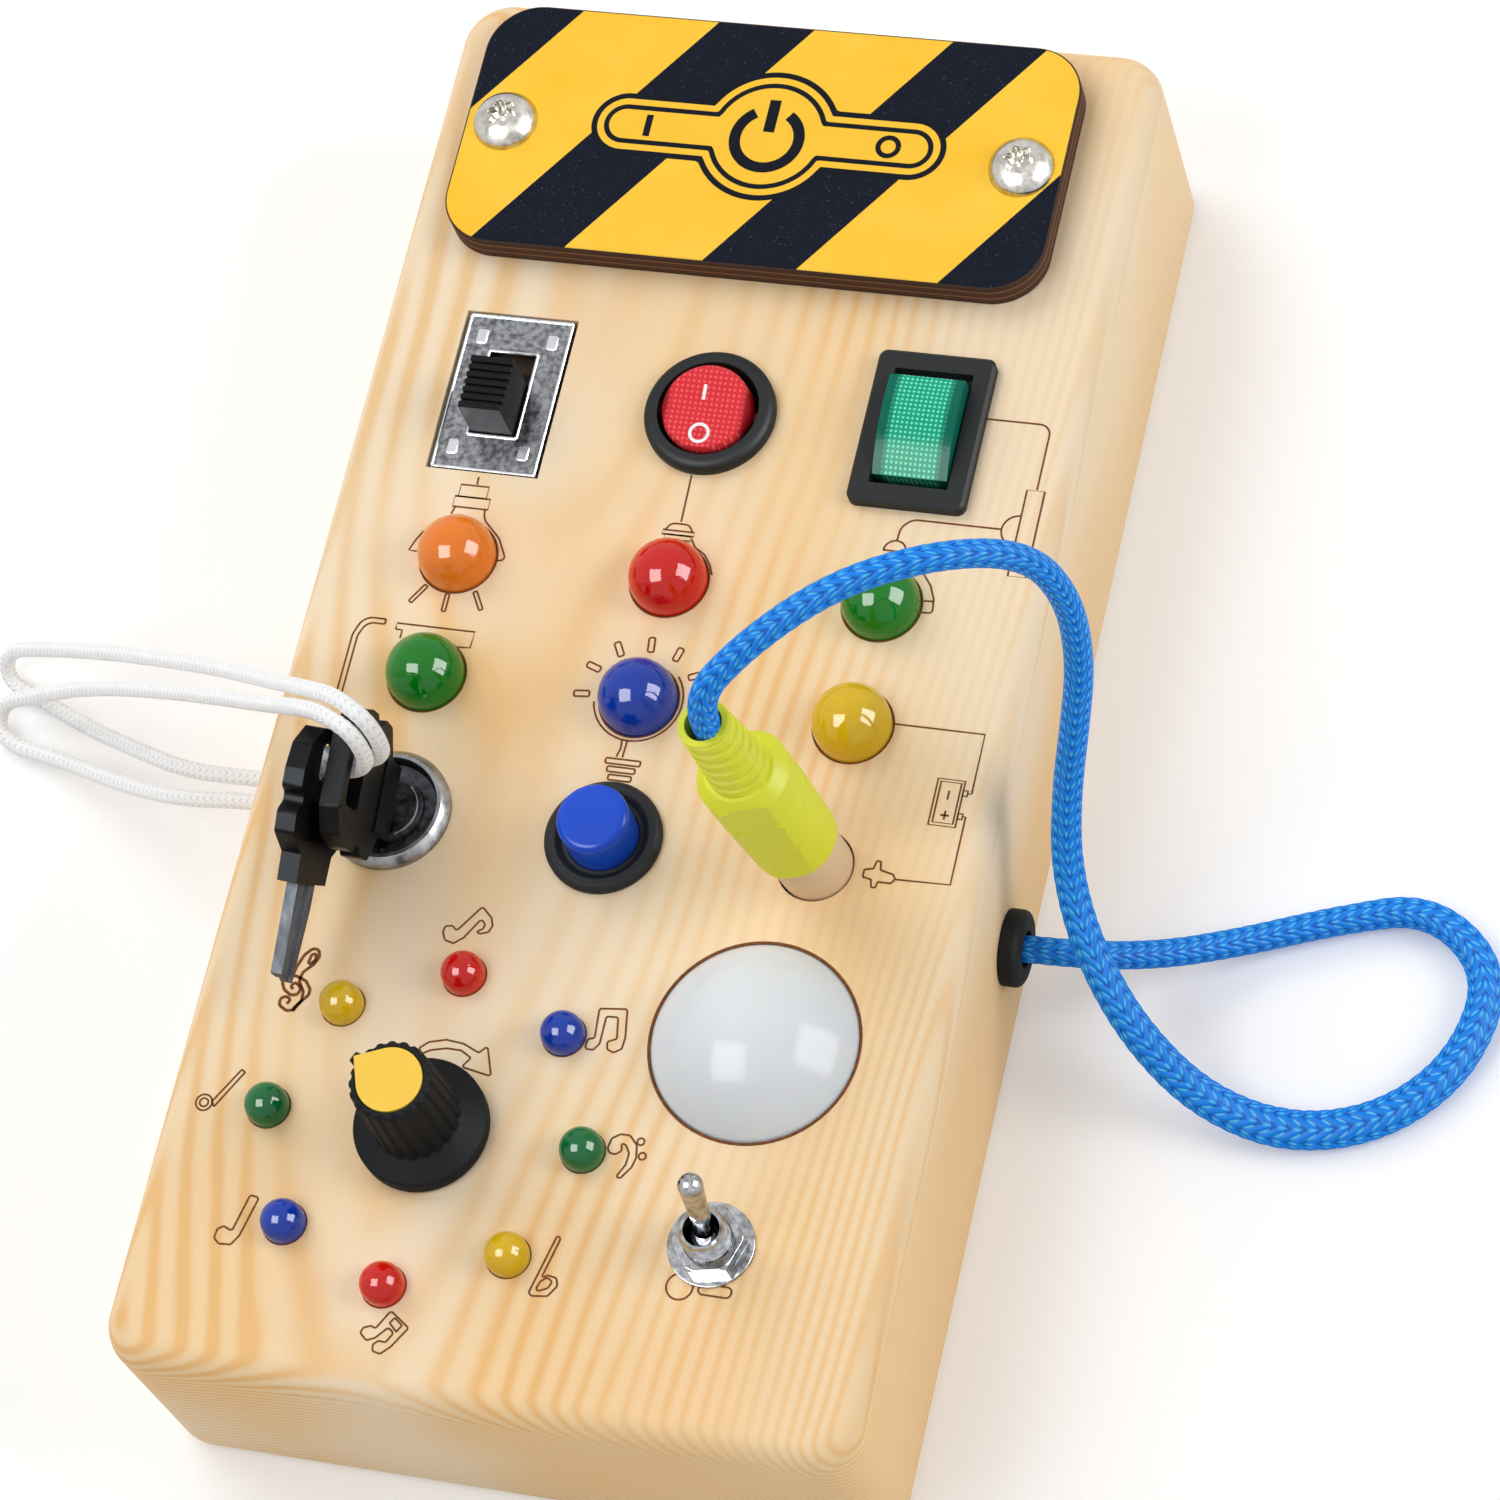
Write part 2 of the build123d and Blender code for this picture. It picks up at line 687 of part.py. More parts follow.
def square_rocker_housing():
    """Rectangular bezel and body with the well that the green button rocks in."""
    low = face_z - rocker_depth
    well_r = sqrt((square_button_l / 2) ** 2 + (square_button_h - square_button_crown) ** 2) + rocker_slack
    body = block(square_body_w, square_body_l, low, face_z)
    bezel = rounded_block(square_bezel_w, square_bezel_l, 1.2, face_z, face_z + square_bezel_h)
    bezel = chamfer(bezel.edges().group_by(Axis.Z)[-1], 0.4)
    body += bezel
    body -= block(square_opening_w, square_opening_l, face_z, face_z + square_bezel_h)
    well = Pos(0, 0, face_z) * Rot(0, 90, 0) * Cylinder(well_r, square_opening_w)
    body -= well
    pin_reach = square_button_w + 2 * (trunnion_l + slip_gap)
    body -= Pos(0, 0, face_z) * Rot(0, 90, 0) * Cylinder(trunnion_r + seat_gap, pin_reach)
    return Pos(square_x, square_y, 0) * body


def square_rocker_button():
    """The green lens: flat sides, a crowned top and a round underside, tilted to its OFF side."""
    half_l = square_button_l / 2
    edge_h = square_button_h - square_button_crown
    side_line = Polyline((0, -half_l, edge_h), (0, -half_l, -1.5), (0, half_l, -1.5), (0, half_l, edge_h))
    crown = ThreePointArc((0, half_l, edge_h), (0, 0, square_button_h), (0, -half_l, edge_h))
    face = make_face([*side_line.edges(), crown])
    button = extrude(face, square_button_w / 2, both=True)
    button += trunnions(square_button_w / 2, trunnion_r, trunnion_l)
    return Pos(square_x, square_y, face_z) * Rot(rocker_tilt, 0, 0) * button


def rocker_terminals():
    """The flat tabs under both rocker switches."""
    top = face_z - rocker_depth
    tabs = []
    for x, y in ((middle_x, switch_row_y), (square_x, square_y)):
        tabs += [Pos(x, y, 0) * tab for tab in terminals(top)]
    return Compound(children=tabs)


# --- push button -------------------------------------------------------------

def push_housing():
    """Dished bezel and threaded barrel of the push button."""
    low = face_z - push_depth
    body = rod(push_thread_r, low, face_z)
    bezel = turned([(0, face_z), (push_bezel_r, face_z), (push_bezel_r, face_z + 0.7),
                    (push_bezel_r - 0.6, face_z + push_bezel_h), (push_bezel_r - 1.5, face_z + push_bezel_h),
                    (push_bezel_r - 2.3, face_z + 0.8), (0, face_z + 0.8)])
    body += bezel
    body -= rod(push_cap_r + slip_gap, face_z - push_travel - 3.0, face_z + push_bezel_h)
    body += rod(push_thread_r - 1.0, low - 2.0, low) + block(1.0, 4.0, low - 6.0, low - 2.0, 0, 0)
    return Pos(middle_x, control_row_y, 0) * body


def push_cap():
    """The blue cap with a softly rounded rim."""
    cap = rod(push_cap_r, face_z - 2.0, face_z + push_cap_h)
    cap = fillet(cap.edges().group_by(Axis.Z)[-1], 0.9)
    return Pos(middle_x, control_row_y, 0) * cap


# --- key lock ----------------------------------------------------------------

lock_core_top = face_z + lock_core_rise


def lock_body():
    """Metal ring with a dished mouth and the threaded barrel behind it."""
    low = face_z - lock_depth
    body = rod(lock_thread_r, low, face_z)
    body += turned([(0, face_z), (lock_ring_r, face_z), (lock_ring_r, face_z + 0.8),
                    (lock_ring_r - 0.9, face_z + lock_ring_h), (lock_dish_r + 0.4, face_z + lock_ring_h),
                    (lock_dish_r, face_z + 0.5), (0, face_z + 0.5)])
    body -= rod(lock_core_r + seat_gap, low, face_z + lock_ring_h)
    body += rod(0.6, face_z + 0.5, face_z + 1.0, 0, -lock_core_r - 0.9)
    return Pos(left_x, control_row_y, 0) * body


def key_outline():
    """The head's outline: far end at Y 0, a waist, then the collar that takes the blade."""
    w, length = key_bow_w / 2, key_bow_l
    collar = key_collar_w / 2
    right_side = [(w * 0.55, 0), (w * 0.9, -length * 0.14), (w, -length * 0.34), (w, -length * 0.49),
                  (w * 0.86, -length * 0.54), (w * 0.86, -length * 0.61), (w, -length * 0.68),
                  (w * 0.97, -length * 0.85), (collar, -length), (collar * 0.94, -length - key_collar_l)]
    left_side = [(-x, y) for x, y in reversed(right_side)]
    outline = make_face(Polyline(*right_side, *left_side, close=True))
    corners = [v for v in outline.vertices() if v.Y > -length + 1]
    return fillet(corners, 0.8)


def blade_outline(gap=0.0):
    """The blade's outline with one straight side and one that tapers to a rounded tip."""
    top = -key_length
    half = key_blade_w / 2 + gap
    tip = top - key_blade_l - gap
    return make_face(Polyline((half, top), (half, top - 3.0), (half * 0.5, tip), (-half * 0.9, tip + 1.0),
                              (-half, top), close=True))


def key_bow():
    """One key's moulded head in its own plane, with a rounded slot near the far end."""
    bow = extrude(key_outline(), key_bow_t / 2, both=True)
    slot = RectangleRounded(key_slot_w, key_slot_l, 1.0)
    bow -= Pos(0, -key_rim - key_slot_l / 2, 0) * extrude(slot, key_bow_t, both=True)
    panel = Pos(0, -key_bow_l * 0.74, 0) * Box(key_collar_w, key_bow_l * 0.3, 0.5)
    for side in (-1, 1):
        bow -= Pos(0, 0, side * key_bow_t / 2) * panel
    return bow


def key_blade():
    """One key's flat blade in the same plane, with a groove along each face."""
    blade = extrude(blade_outline(), key_blade_t / 2, both=True)
    for side in (-1, 1):
        groove = Pos(0, -key_length - key_blade_l / 2, side * key_blade_t / 2) * Box(1.4, key_blade_l, 0.6)
        blade -= groove
    return blade


def lock_core():
    """The cylinder that turns with the key, slotted for the blade as it leans."""
    core = rod(lock_core_r, face_z - lock_depth - 1.0, lock_core_top, left_x, control_row_y)
    slot = extrude(blade_outline(seat_gap), key_blade_t / 2 + seat_gap, both=True)
    mouth = Pos(0, -key_length + key_stand, 0) * Box(key_blade_w + 2 * seat_gap, 2 * key_stand,
                                                     key_blade_t + 2 * seat_gap)
    return core - key_one_frame * (slot + mouth)


key_length = key_bow_l + key_collar_l
upright = Rot(90, 0, 0)
edge_on = Rot(0, 0, 90)
key_one_seat = Pos(left_x, control_row_y, lock_core_top + key_stand)
key_one_frame = key_one_seat * Rot(key_lean, 0, 0) * Pos(0, 0, key_length) * edge_on * upright
key_two_end = Pos(key_two_x, control_row_y + key_two_ahead, face_z + key_two_top)
key_two_turn = Rot(0, 0, -key_two_swing) * Rot(key_two_droop - 90, 0, 0)
key_two_frame = key_two_end * key_two_turn * edge_on * upright


# --- plug and jack -----------------------------------------------------------

plug_tip = sqrt(plug_lean_x ** 2 + plug_lean_y ** 2)
plug_tilt = degrees(atan2(plug_tip, 1.0))
plug_heading = degrees(atan2(plug_lean_y, plug_lean_x))
plug_frame = Pos(plug_x, plug_y, face_z) * Rot(0, 0, plug_heading) * Rot(0, plug_tilt, 0)


def plug_collar():
    """The pale sleeve that sits in the hole of the wooden face."""
    sleeve = rod(plug_collar_r, -plug_collar_sink, plug_collar_l)
    return plug_frame * sleeve


def plug_shell():
    """The moulded grip with two flats and its ribbed, hollow-ended strain relief."""
    low = plug_collar_l
    body_top = low + plug_body_l
    relief_low = body_top + 1.6
    shell = turned([(0, low), (plug_body_low_r - 0.5, low), (plug_body_low_r, low + 0.6),
                    (plug_body_r, body_top - 6.0), (plug_body_r - 0.35, body_top - 5.4),
                    (plug_body_r, body_top - 4.8), (plug_body_r, body_top), (plug_relief_r + 0.5, relief_low),
                    (0, relief_low)])
    flat_cut = Box(4.0, 30.0, plug_body_l + 20.0)
    for side in (-1, 1):
        shell -= Pos(0, side * (plug_body_r + 1.3), body_top) * Rot(0, 0, 90) * flat_cut
    step = (plug_length - relief_low) / plug_rib_count
    taper = (plug_relief_r - plug_relief_end_r) / plug_rib_count
    profile = [(0, relief_low)]
    for i in range(plug_rib_count):
        z = relief_low + step * i
        r = plug_relief_r - taper * i
        profile += [(r, z), (r, z + step * 0.62), (r - 0.45, z + step * 0.7), (r - 0.45, z + step * 0.94)]
    profile += [(plug_relief_end_r, plug_length - 0.1), (plug_relief_end_r, plug_length), (0, plug_length)]
    shell += turned(profile)
    shell -= rod(cord_r + slip_gap, plug_length - 5.0, plug_length)
    return plug_frame * shell


def plug_pin():
    """The plug's metal pin with its waisted tip."""
    r = plug_pin_r
    low = -plug_collar_sink - plug_pin_l
    pin = turned([(0, -plug_collar_sink), (r, -plug_collar_sink), (r, low + 3.0), (r * 0.62, low + 2.2),
                  (r * 0.95, low + 1.3), (r * 0.4, low), (0, low)])
    return plug_frame * pin


def jack_socket():
    """The jack behind the face, set at the same lean as its plug."""
    top = -front_wall - jack_wedge_t / 2
    body = block(jack_size, jack_size, top - jack_depth, top)
    body -= rod(plug_pin_r + seat_gap, top - jack_depth, top)
    body += block(1.0, 4.0, top - jack_depth - 3.0, top - jack_depth, 3.5, 0)
    return plug_frame * body


def jack_wedge():
    """The wedge that sets the jack at its lean against the back of the wooden face."""
    size = jack_size + 4.0
    wedge = block(size, size, wall_z - jack_wedge_t * 2, wall_z, plug_x, plug_y)
    wedge -= rod(plug_hole_r, wall_z - jack_wedge_t * 2, wall_z, plug_x, plug_y)
    top = -front_wall - jack_wedge_t / 2
    return wedge - plug_frame * block(3 * size, 3 * size, top - 3 * jack_depth, top)


# --- knob --------------------------------------------------------------------

knob_low = face_z + knob_gap
knob_top = face_z + knob_height


def cap_outline(gap=0.0):
    """A round disc drawn out to a point on the pointer's side."""
    r, tip_r = cap_r + gap, cap_tip + gap
    spread = degrees(atan2(sqrt(tip_r ** 2 - r ** 2), r))
    tangent = (r * cos(radians(spread)), r * sin(radians(spread)))
    tip = make_face(Polyline((tip_r, 0), tangent, (0, 0), (tangent[0], -tangent[1]), close=True))
    return Circle(r) + tip


def knob():
    """Skirted push-on knob with scalloped sides, a pointer ridge, a seat for the cap and a hollow."""
    skirt_top = knob_low + knob_skirt_h
    barrel_low = skirt_top + knob_cone_h
    body = turned([(0, knob_low), (knob_skirt_r, knob_low), (knob_skirt_r, skirt_top - 0.3),
                   (knob_skirt_r - 0.3, skirt_top), (knob_foot_r, barrel_low),
                   (knob_top_r, knob_top - 0.4), (knob_top_r - 0.4, knob_top), (0, knob_top)])
    lean = degrees(atan2(knob_foot_r - knob_top_r, knob_top - barrel_low))
    groove_h = knob_top - barrel_low + 1.0
    groove_r = (knob_foot_r + knob_top_r) / 2 + knob_flute_r - knob_flute_depth
    for i in range(knob_flute_count):
        angle = 360 * (i + 0.5) / knob_flute_count
        groove = Pos(groove_r, 0, barrel_low + groove_h / 2) * Rot(0, -lean, 0) * \
            Cylinder(knob_flute_r, groove_h)
        body -= Rot(0, 0, knob_pointer_angle + angle) * groove
    ridge = block(knob_top_r + 0.9, 1.4, skirt_top, knob_top, (knob_top_r + 0.9) / 2, 0)
    body += Rot(0, 0, knob_pointer_angle) * ridge
    seat = extrude(cap_outline(slip_gap), cap_sink)
    body -= Pos(0, 0, knob_top - cap_sink) * Rot(0, 0, knob_pointer_angle) * seat
    body -= rod(pot_bush_r + knob_hollow_gap, knob_low, knob_low + 3.0)
    body -= rod(pot_shaft_r + seat_gap, knob_low, knob_low + knob_bore_depth)
    return Pos(knob_x, knob_y, 0) * body


def knob_cap():
    """The yellow teardrop that shows where the knob points."""
    cap = extrude(cap_outline(), cap_h)
    return Pos(knob_x, knob_y, knob_top - cap_sink) * Rot(0, 0, knob_pointer_angle) * cap


def potentiometer():
    """The control behind the knob: a round case, a threaded bush and three tabs."""
    body = rod(pot_body_r, wall_z - pot_body_h, wall_z)
    body += rod(pot_bush_r, wall_z, face_z + 1.6)
    for i in range(3):
        body += block(1.0, 4.0, wall_z - pot_body_h + 1.0, wall_z - pot_body_h + 1.5, (i - 1) * 4.0, -pot_body_r - 1.0)
    body -= rod(pot_shaft_r + seat_gap, wall_z - pot_body_h + 2.0, face_z + 1.6)
    return Pos(knob_x, knob_y, 0) * body


def pot_shaft():
    """The shaft that the knob is pressed on."""
    return rod(pot_shaft_r, wall_z - pot_body_h + 2.5, knob_low + knob_bore_depth - 0.5, knob_x, knob_y)


# --- toggle ------------------------------------------------------------------

toggle_pivot_z = face_z + toggle_pivot_h


def toggle_bushing():
    """The plated frame and threaded bush of the toggle switch."""
    body = rod(toggle_bush_r, wall_z, face_z + toggle_bush_h)
    body = chamfer(body.edges().group_by(Axis.Z)[-1], 0.4)
    body += block(toggle_body_w, toggle_body_l, wall_z - 0.8, wall_z)
    body -= rod(toggle_bore_r, wall_z - 0.8, face_z + toggle_bush_h)
    return Pos(toggle_x, toggle_y, 0) * body


def toggle_case():
    """The moulded case under the toggle's frame, with three tabs."""
    top = wall_z - 0.8
    case = block(toggle_body_w, toggle_body_l, top - toggle_body_h, top)
    for i in range(3):
        case += block(2.0, 0.7, top - toggle_body_h - 4.0, top - toggle_body_h, 0, (i - 1) * 4.7)
    return Pos(toggle_x, toggle_y, 0) * case


def toggle_lever():
    """The bat lever on its ball, leaning to its upper position."""
    lever = turned([(0, -1.2), (toggle_lever_r, -1.2), (toggle_lever_r, 6.0),
                    (toggle_lever_tip_r, toggle_lever_l - 2.0), (toggle_lever_tip_r, toggle_lever_l - 0.8),
                    (toggle_lever_tip_r - 0.6, toggle_lever_l), (0, toggle_lever_l)])
    lever += Sphere(toggle_bore_r - seat_gap)
    return Pos(toggle_x, toggle_y, toggle_pivot_z) * Rot(-toggle_tilt, 0, 0) * lever


def toggle_washer():
    """The flat washer under the toggle's nut."""
    ring = rod(toggle_washer_r, face_z, face_z + toggle_washer_h)
    return Pos(toggle_x, toggle_y, 0) * (ring - rod(toggle_bush_r + slip_gap, face_z, face_z + toggle_washer_h))


def toggle_nut():
    """The hexagon nut that clamps the toggle to the face."""
    low = face_z + toggle_washer_h
    nut = hex_nut(toggle_nut_af, toggle_bush_r + seat_gap, low, low + toggle_nut_h)
    crown = Pos(0, 0, low + toggle_nut_h / 2) * Cone(toggle_nut_af * 0.72, toggle_nut_af * 0.54, toggle_nut_h)
    return Pos(toggle_x, toggle_y, 0) * Rot(0, 0, 12) * (nut & crown)


def panel_nuts():
    """Round nuts behind the face that clamp the push button, the lock and, in front, the control."""
    nuts = []
    for radius, x in ((push_thread_r, middle_x), (lock_thread_r, left_x)):
        nut = hex_nut(2 * (radius + nut_wall), radius + seat_gap, wall_z - nut_h, wall_z)
        nuts.append(Pos(x, control_row_y, 0) * nut)
    front = hex_nut(2 * (pot_bush_r + pot_nut_wall), pot_bush_r + seat_gap, face_z, face_z + 1.4)
    nuts.append(Pos(knob_x, knob_y, 0) * front)
    return Compound(children=nuts)


# --- grommet and cords -------------------------------------------------------

def grommet():
    """The black bush in the right side that the blue cord comes out of."""
    sleeve = Cylinder(grommet_sleeve_r, side_wall)
    flange = Pos(0, 0, side_wall / 2 + grommet_flange_h / 2) * Cylinder(grommet_flange_r, grommet_flange_h)
    flange = fillet(flange.edges().group_by(Axis.Z)[-1], 1.0)
    bush = sleeve + flange
    bush -= Cylinder(cord_r + slip_gap, 2 * (side_wall + grommet_flange_h))
    return Pos(half_width - side_wall / 2, grommet_y, grommet_z) * Rot(0, 90, 0) * bush


def on_plug(distance):
    """A point on the plug's axis."""
    scale = distance / sqrt(1 + plug_lean_x ** 2 + plug_lean_y ** 2)
    return (plug_x + plug_lean_x * scale, plug_y + plug_lean_y * scale, face_z + scale)


# heights in both routes count from the board's face
cord_route = [
    on_plug(plug_length - 4.5), on_plug(plug_length + 5.0),
    (29.0, -17.5, 54.5 + face_z), (39.0, -10.0, 57.8 + face_z), (50.0, -3.8, 55.6 + face_z),
    (57.3, 1.0, 47.3 + face_z), (60.0, 1.6, 35.6 + face_z), (60.1, -1.0, 24.0 + face_z),
    (58.4, -4.6, 13.4 + face_z), (56.6, -9.0, 3.2 + face_z), (56.2, -15.2, -6.4 + face_z),
    (59.6, -23.0, -13.4 + face_z), (66.0, -30.4, -20.2 + face_z), (74.3, -35.0, -27.9 + face_z),
    (85.4, -36.9, -30.2 + face_z), (96.6, -33.4, -30.2 + face_z), (104.6, -24.6, -30.2 + face_z),
    (106.6, -12.2, -30.2 + face_z), (97.2, -4.4, -30.2 + face_z), (85.6, -7.9, -30.2 + face_z),
    (74.8, -12.5, -29.6 + face_z), (65.4, -17.6, -25.2 + face_z),
    (55.6, grommet_y, grommet_z), (half_width - 3.0, grommet_y, grommet_z)]

lanyard_route = [
    (-half_width + lanyard_hole_depth, lanyard_hole_a_y, lanyard_hole_z), (-54.0, lanyard_hole_a_y, lanyard_hole_z),
    (-64.5, -12.2, -18.0 + face_z), (-76.9, -6.9, -24.4 + face_z), (-84.5, -3.3, -29.3 + face_z),
    (-93.5, 0.9, -31.3 + face_z), (-99.0, 3.0, -31.2 + face_z), (-98.6, 5.8, -27.2 + face_z),
    (-91.0, 4.6, -22.6 + face_z), (-79.1, 1.3, -13.6 + face_z), (-65.7, -3.0, -3.6 + face_z),
    (-54.0, -7.2, 5.5 + face_z), (-42.5, -12.0, 14.6 + face_z), (-33.8, -16.2, 23.2 + face_z),
    (-28.8, -18.4, 27.2 + face_z), (-23.4, -21.5, 26.7 + face_z), (-24.2, -21.9, 16.6 + face_z),
    (-35.1, -21.7, 16.6 + face_z), (-35.1, -19.7, 10.4 + face_z), (-35.1, -26.3, 10.4 + face_z),
    (-35.1, -24.0, 17.7 + face_z), (-25.5, -23.9, 17.7 + face_z), (-25.3, -22.9, 26.3 + face_z),
    (-30.2, -20.5, 26.3 + face_z), (-34.8, -18.3, 22.2 + face_z), (-43.2, -14.6, 13.2 + face_z),
    (-55.3, -10.1, 3.0 + face_z), (-68.2, -6.0, -7.0 + face_z), (-81.4, -2.6, -17.0 + face_z),
    (-92.2, -1.2, -25.6 + face_z), (-98.4, -1.0, -29.6 + face_z), (-97.6, -6.0, -31.3 + face_z),
    (-87.5, -7.9, -30.4 + face_z), (-74.8, -13.0, -23.6 + face_z), (-64.0, -16.4, -17.4 + face_z),
    (-54.0, lanyard_hole_b_y, lanyard_hole_z), (-half_width + lanyard_hole_depth, lanyard_hole_b_y, lanyard_hole_z)]


def cord_tube(name, route, radius):
    """A round cord along straight runs joined by arcs as large as the two runs allow."""
    points = [Vector(*p) for p in route]
    arcs = []
    for before, here, after in zip(points, points[1:], points[2:]):
        turn = (here - before).get_angle(after - here)
        shorter = min((here - before).length, (after - here).length)
        arcs.append(0.45 * shorter / tan(radians(turn) / 2))
    path = FilletPolyline(*points, radius=arcs)
    start = Plane(origin=path @ 0, z_dir=path % 0)
    tube = sweep(start * Circle(radius), path=path)
    length = path.length
    ratio = tube.volume / (3.141593 * radius ** 2 * length)
    print(name, "length", round(length, 1), "volume ratio", round(ratio, 4))
    print(name, "radii", [round(a, 1) for a in arcs])
    return tube


def build():
    """Writes every node."""
    os.makedirs("parts", exist_ok=True)
    save("housing", housing())
    save("back_panel", back_panel())
    save("back_screws", back_screws())
    save("battery_tray", battery_tray())
    save("battery_cover", battery_cover())
    save("battery_cover_screw", battery_cover_screw())
    save("battery_cells", battery_cells())
    save("battery_contacts", battery_contacts())
    save("plaque", plaque())
    save("plaque_screws", plaque_screws())
    for name, (x, y) in lamp_places.items():
        save(name, Pos(x, y, 0) * lamp(lamp_r, lamp_rise, lamp_flange, lead_length))
    for i, (x, y) in enumerate(small_lamp_places()):
        name = "small_lamp_" + str(i + 1)
        save(name, Pos(x, y, 0) * lamp(small_lamp_r, small_lamp_rise, small_lamp_flange, small_lead_length))
    save("ring_board", ring_board())
    save("dome_cover", dome_cover())
    save("dome_lamp", dome_lamp())
    save("slide_frame", slide_frame())
    save("slide_base", slide_base())
    save("slide_knob", slide_knob())
    save("round_rocker_housing", round_rocker_housing())
    save("round_rocker_button", round_rocker_button())
    save("square_rocker_housing", square_rocker_housing())
    save("square_rocker_button", square_rocker_button())
    save("rocker_terminals", rocker_terminals())
    save("push_housing", push_housing())
    save("push_cap", push_cap())
    save("lock_body", lock_body())
    save("lock_core", lock_core())
    save("key_one_bow", key_one_frame * key_bow())
    save("key_one_blade", key_one_frame * key_blade())
    save("key_two_bow", key_two_frame * key_bow())
    save("key_two_blade", key_two_frame * key_blade())
    save("panel_nuts", panel_nuts())
    save("plug_collar", plug_collar())
    save("plug_shell", plug_shell())
    save("plug_pin", plug_pin())
    save("jack_socket", Compound(children=[jack_socket(), jack_wedge()]))
    save("knob", knob())
    save("knob_cap", knob_cap())
    save("potentiometer", potentiometer())
    save("pot_shaft", pot_shaft())
    save("toggle_bushing", toggle_bushing())
    save("toggle_case", toggle_case())
    save("toggle_lever", toggle_lever())
    save("toggle_washer", toggle_washer())
    save("toggle_nut", toggle_nut())
    save("grommet", grommet())
    save("plug_cord", cord_tube("plug_cord", cord_route, cord_r))
    save("lanyard", cord_tube("lanyard", lanyard_route, lanyard_r))


build()
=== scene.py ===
# %% [markdown]
# # A wooden busy board
# This lesson dresses a wooden busy board: a hollow pine block with lamps, switches,
# a key lock, a plug on a braided cord and a dial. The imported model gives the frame,
# and each piece here takes its place and size from it. Lengths are written in
# millimetres, as on a workshop drawing, and turned to metres when a mesh is made.

# %% Load the frame
import bpy
import bmesh
import math
import numpy as np
from mathutils import Matrix


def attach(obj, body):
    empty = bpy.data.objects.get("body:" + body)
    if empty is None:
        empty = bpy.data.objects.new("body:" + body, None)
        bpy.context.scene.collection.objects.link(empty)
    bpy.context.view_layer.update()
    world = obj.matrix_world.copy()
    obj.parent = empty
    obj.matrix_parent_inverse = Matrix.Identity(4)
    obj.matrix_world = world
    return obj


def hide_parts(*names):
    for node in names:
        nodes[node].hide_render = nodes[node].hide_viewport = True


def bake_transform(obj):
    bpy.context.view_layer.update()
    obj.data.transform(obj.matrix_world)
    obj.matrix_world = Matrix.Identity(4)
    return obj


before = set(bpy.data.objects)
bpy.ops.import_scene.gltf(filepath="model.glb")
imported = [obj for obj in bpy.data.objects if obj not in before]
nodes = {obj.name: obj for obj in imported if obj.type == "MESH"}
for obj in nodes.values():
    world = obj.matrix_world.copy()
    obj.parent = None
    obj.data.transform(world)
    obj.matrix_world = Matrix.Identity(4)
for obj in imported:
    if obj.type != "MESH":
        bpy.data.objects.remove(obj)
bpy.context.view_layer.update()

mm = 0.001                    # metres in a millimetre
face = 32.4                   # height of the wooden face over the table
wall_back = 27.4              # height of the face wall's inner side

# %% [markdown]
# ## The camera
# The board is seen from high up and from its lower right, with a long lens, so its
# long edges almost stay parallel. The camera's place and axes are written out, because
# a viewing angle that is solved once should not be guessed again by aiming.

# %% Camera
camera_place = np.array([212.981, -272.451, 655.494])
camera_right = np.array([0.952955, 0.219565, -0.208971])
camera_down = np.array([0.115389, -0.900286, -0.419727])
camera_ahead = np.array([-0.280291, 0.375868, -0.883267])
camera_data = bpy.data.cameras.new("camera")
camera_data.sensor_width = 36.0
camera_data.lens = 136.79
camera = bpy.data.objects.new("camera", camera_data)
bpy.context.scene.collection.objects.link(camera)
turn = np.eye(4)
turn[:3, 0], turn[:3, 1], turn[:3, 2] = camera_right, -camera_down, -camera_ahead
turn[:3, 3] = camera_place * mm
camera.matrix_world = Matrix(turn.tolist())
bpy.context.scene.camera = camera
print("camera to board", round(float(np.linalg.norm(camera_place - [0, 0, face]))), "mm")

# %% [markdown]
# ## Helpers for surfaces
# Every new piece is a grid of points worked out by a formula in numpy. A grid that
# meets itself is closed by merging its doubled points, which also closes the poles.
# The normals are then made to point outwards.

# %% Mesh from grids
merge_metres = 2e-7           # points closer than this are one point
level_normal = 0.99999        # a face whose normal is this upright is level and shades flat
bevel_angle = 30              # edges sharper than this many degrees get their round


def surface(name, body, grids, finish, stands_for=(), crease=38, bevel=0.0, uv=None):
    """Joins grids of points (rows, columns, 3), in millimetres, into one closed mesh.
    Neighbouring rows and columns become four-sided faces, doubled points are merged."""
    points, quads, start = [], [], 0
    for grid in grids:
        rows, columns = grid.shape[:2]
        index = start + np.arange(rows * columns).reshape(rows, columns)
        corners = [index[:-1, :-1], index[1:, :-1], index[1:, 1:], index[:-1, 1:]]
        quads.append(np.stack(corners, -1).reshape(-1, 4))
        points.append(grid.reshape(-1, 3))
        start += rows * columns
    quads = np.concatenate(quads)
    mesh = bpy.data.meshes.new(name)
    mesh.from_pydata((np.concatenate(points) * mm).tolist(), [], quads.tolist())
    if uv is not None:
        layer = mesh.uv_layers.new(name="along")
        layer.data.foreach_set("uv", uv.reshape(-1, 2)[quads.ravel()].astype(np.float32).ravel())
    return settle(name, body, mesh, finish, stands_for, crease, bevel)


print("points closer than", merge_metres, "m are merged")

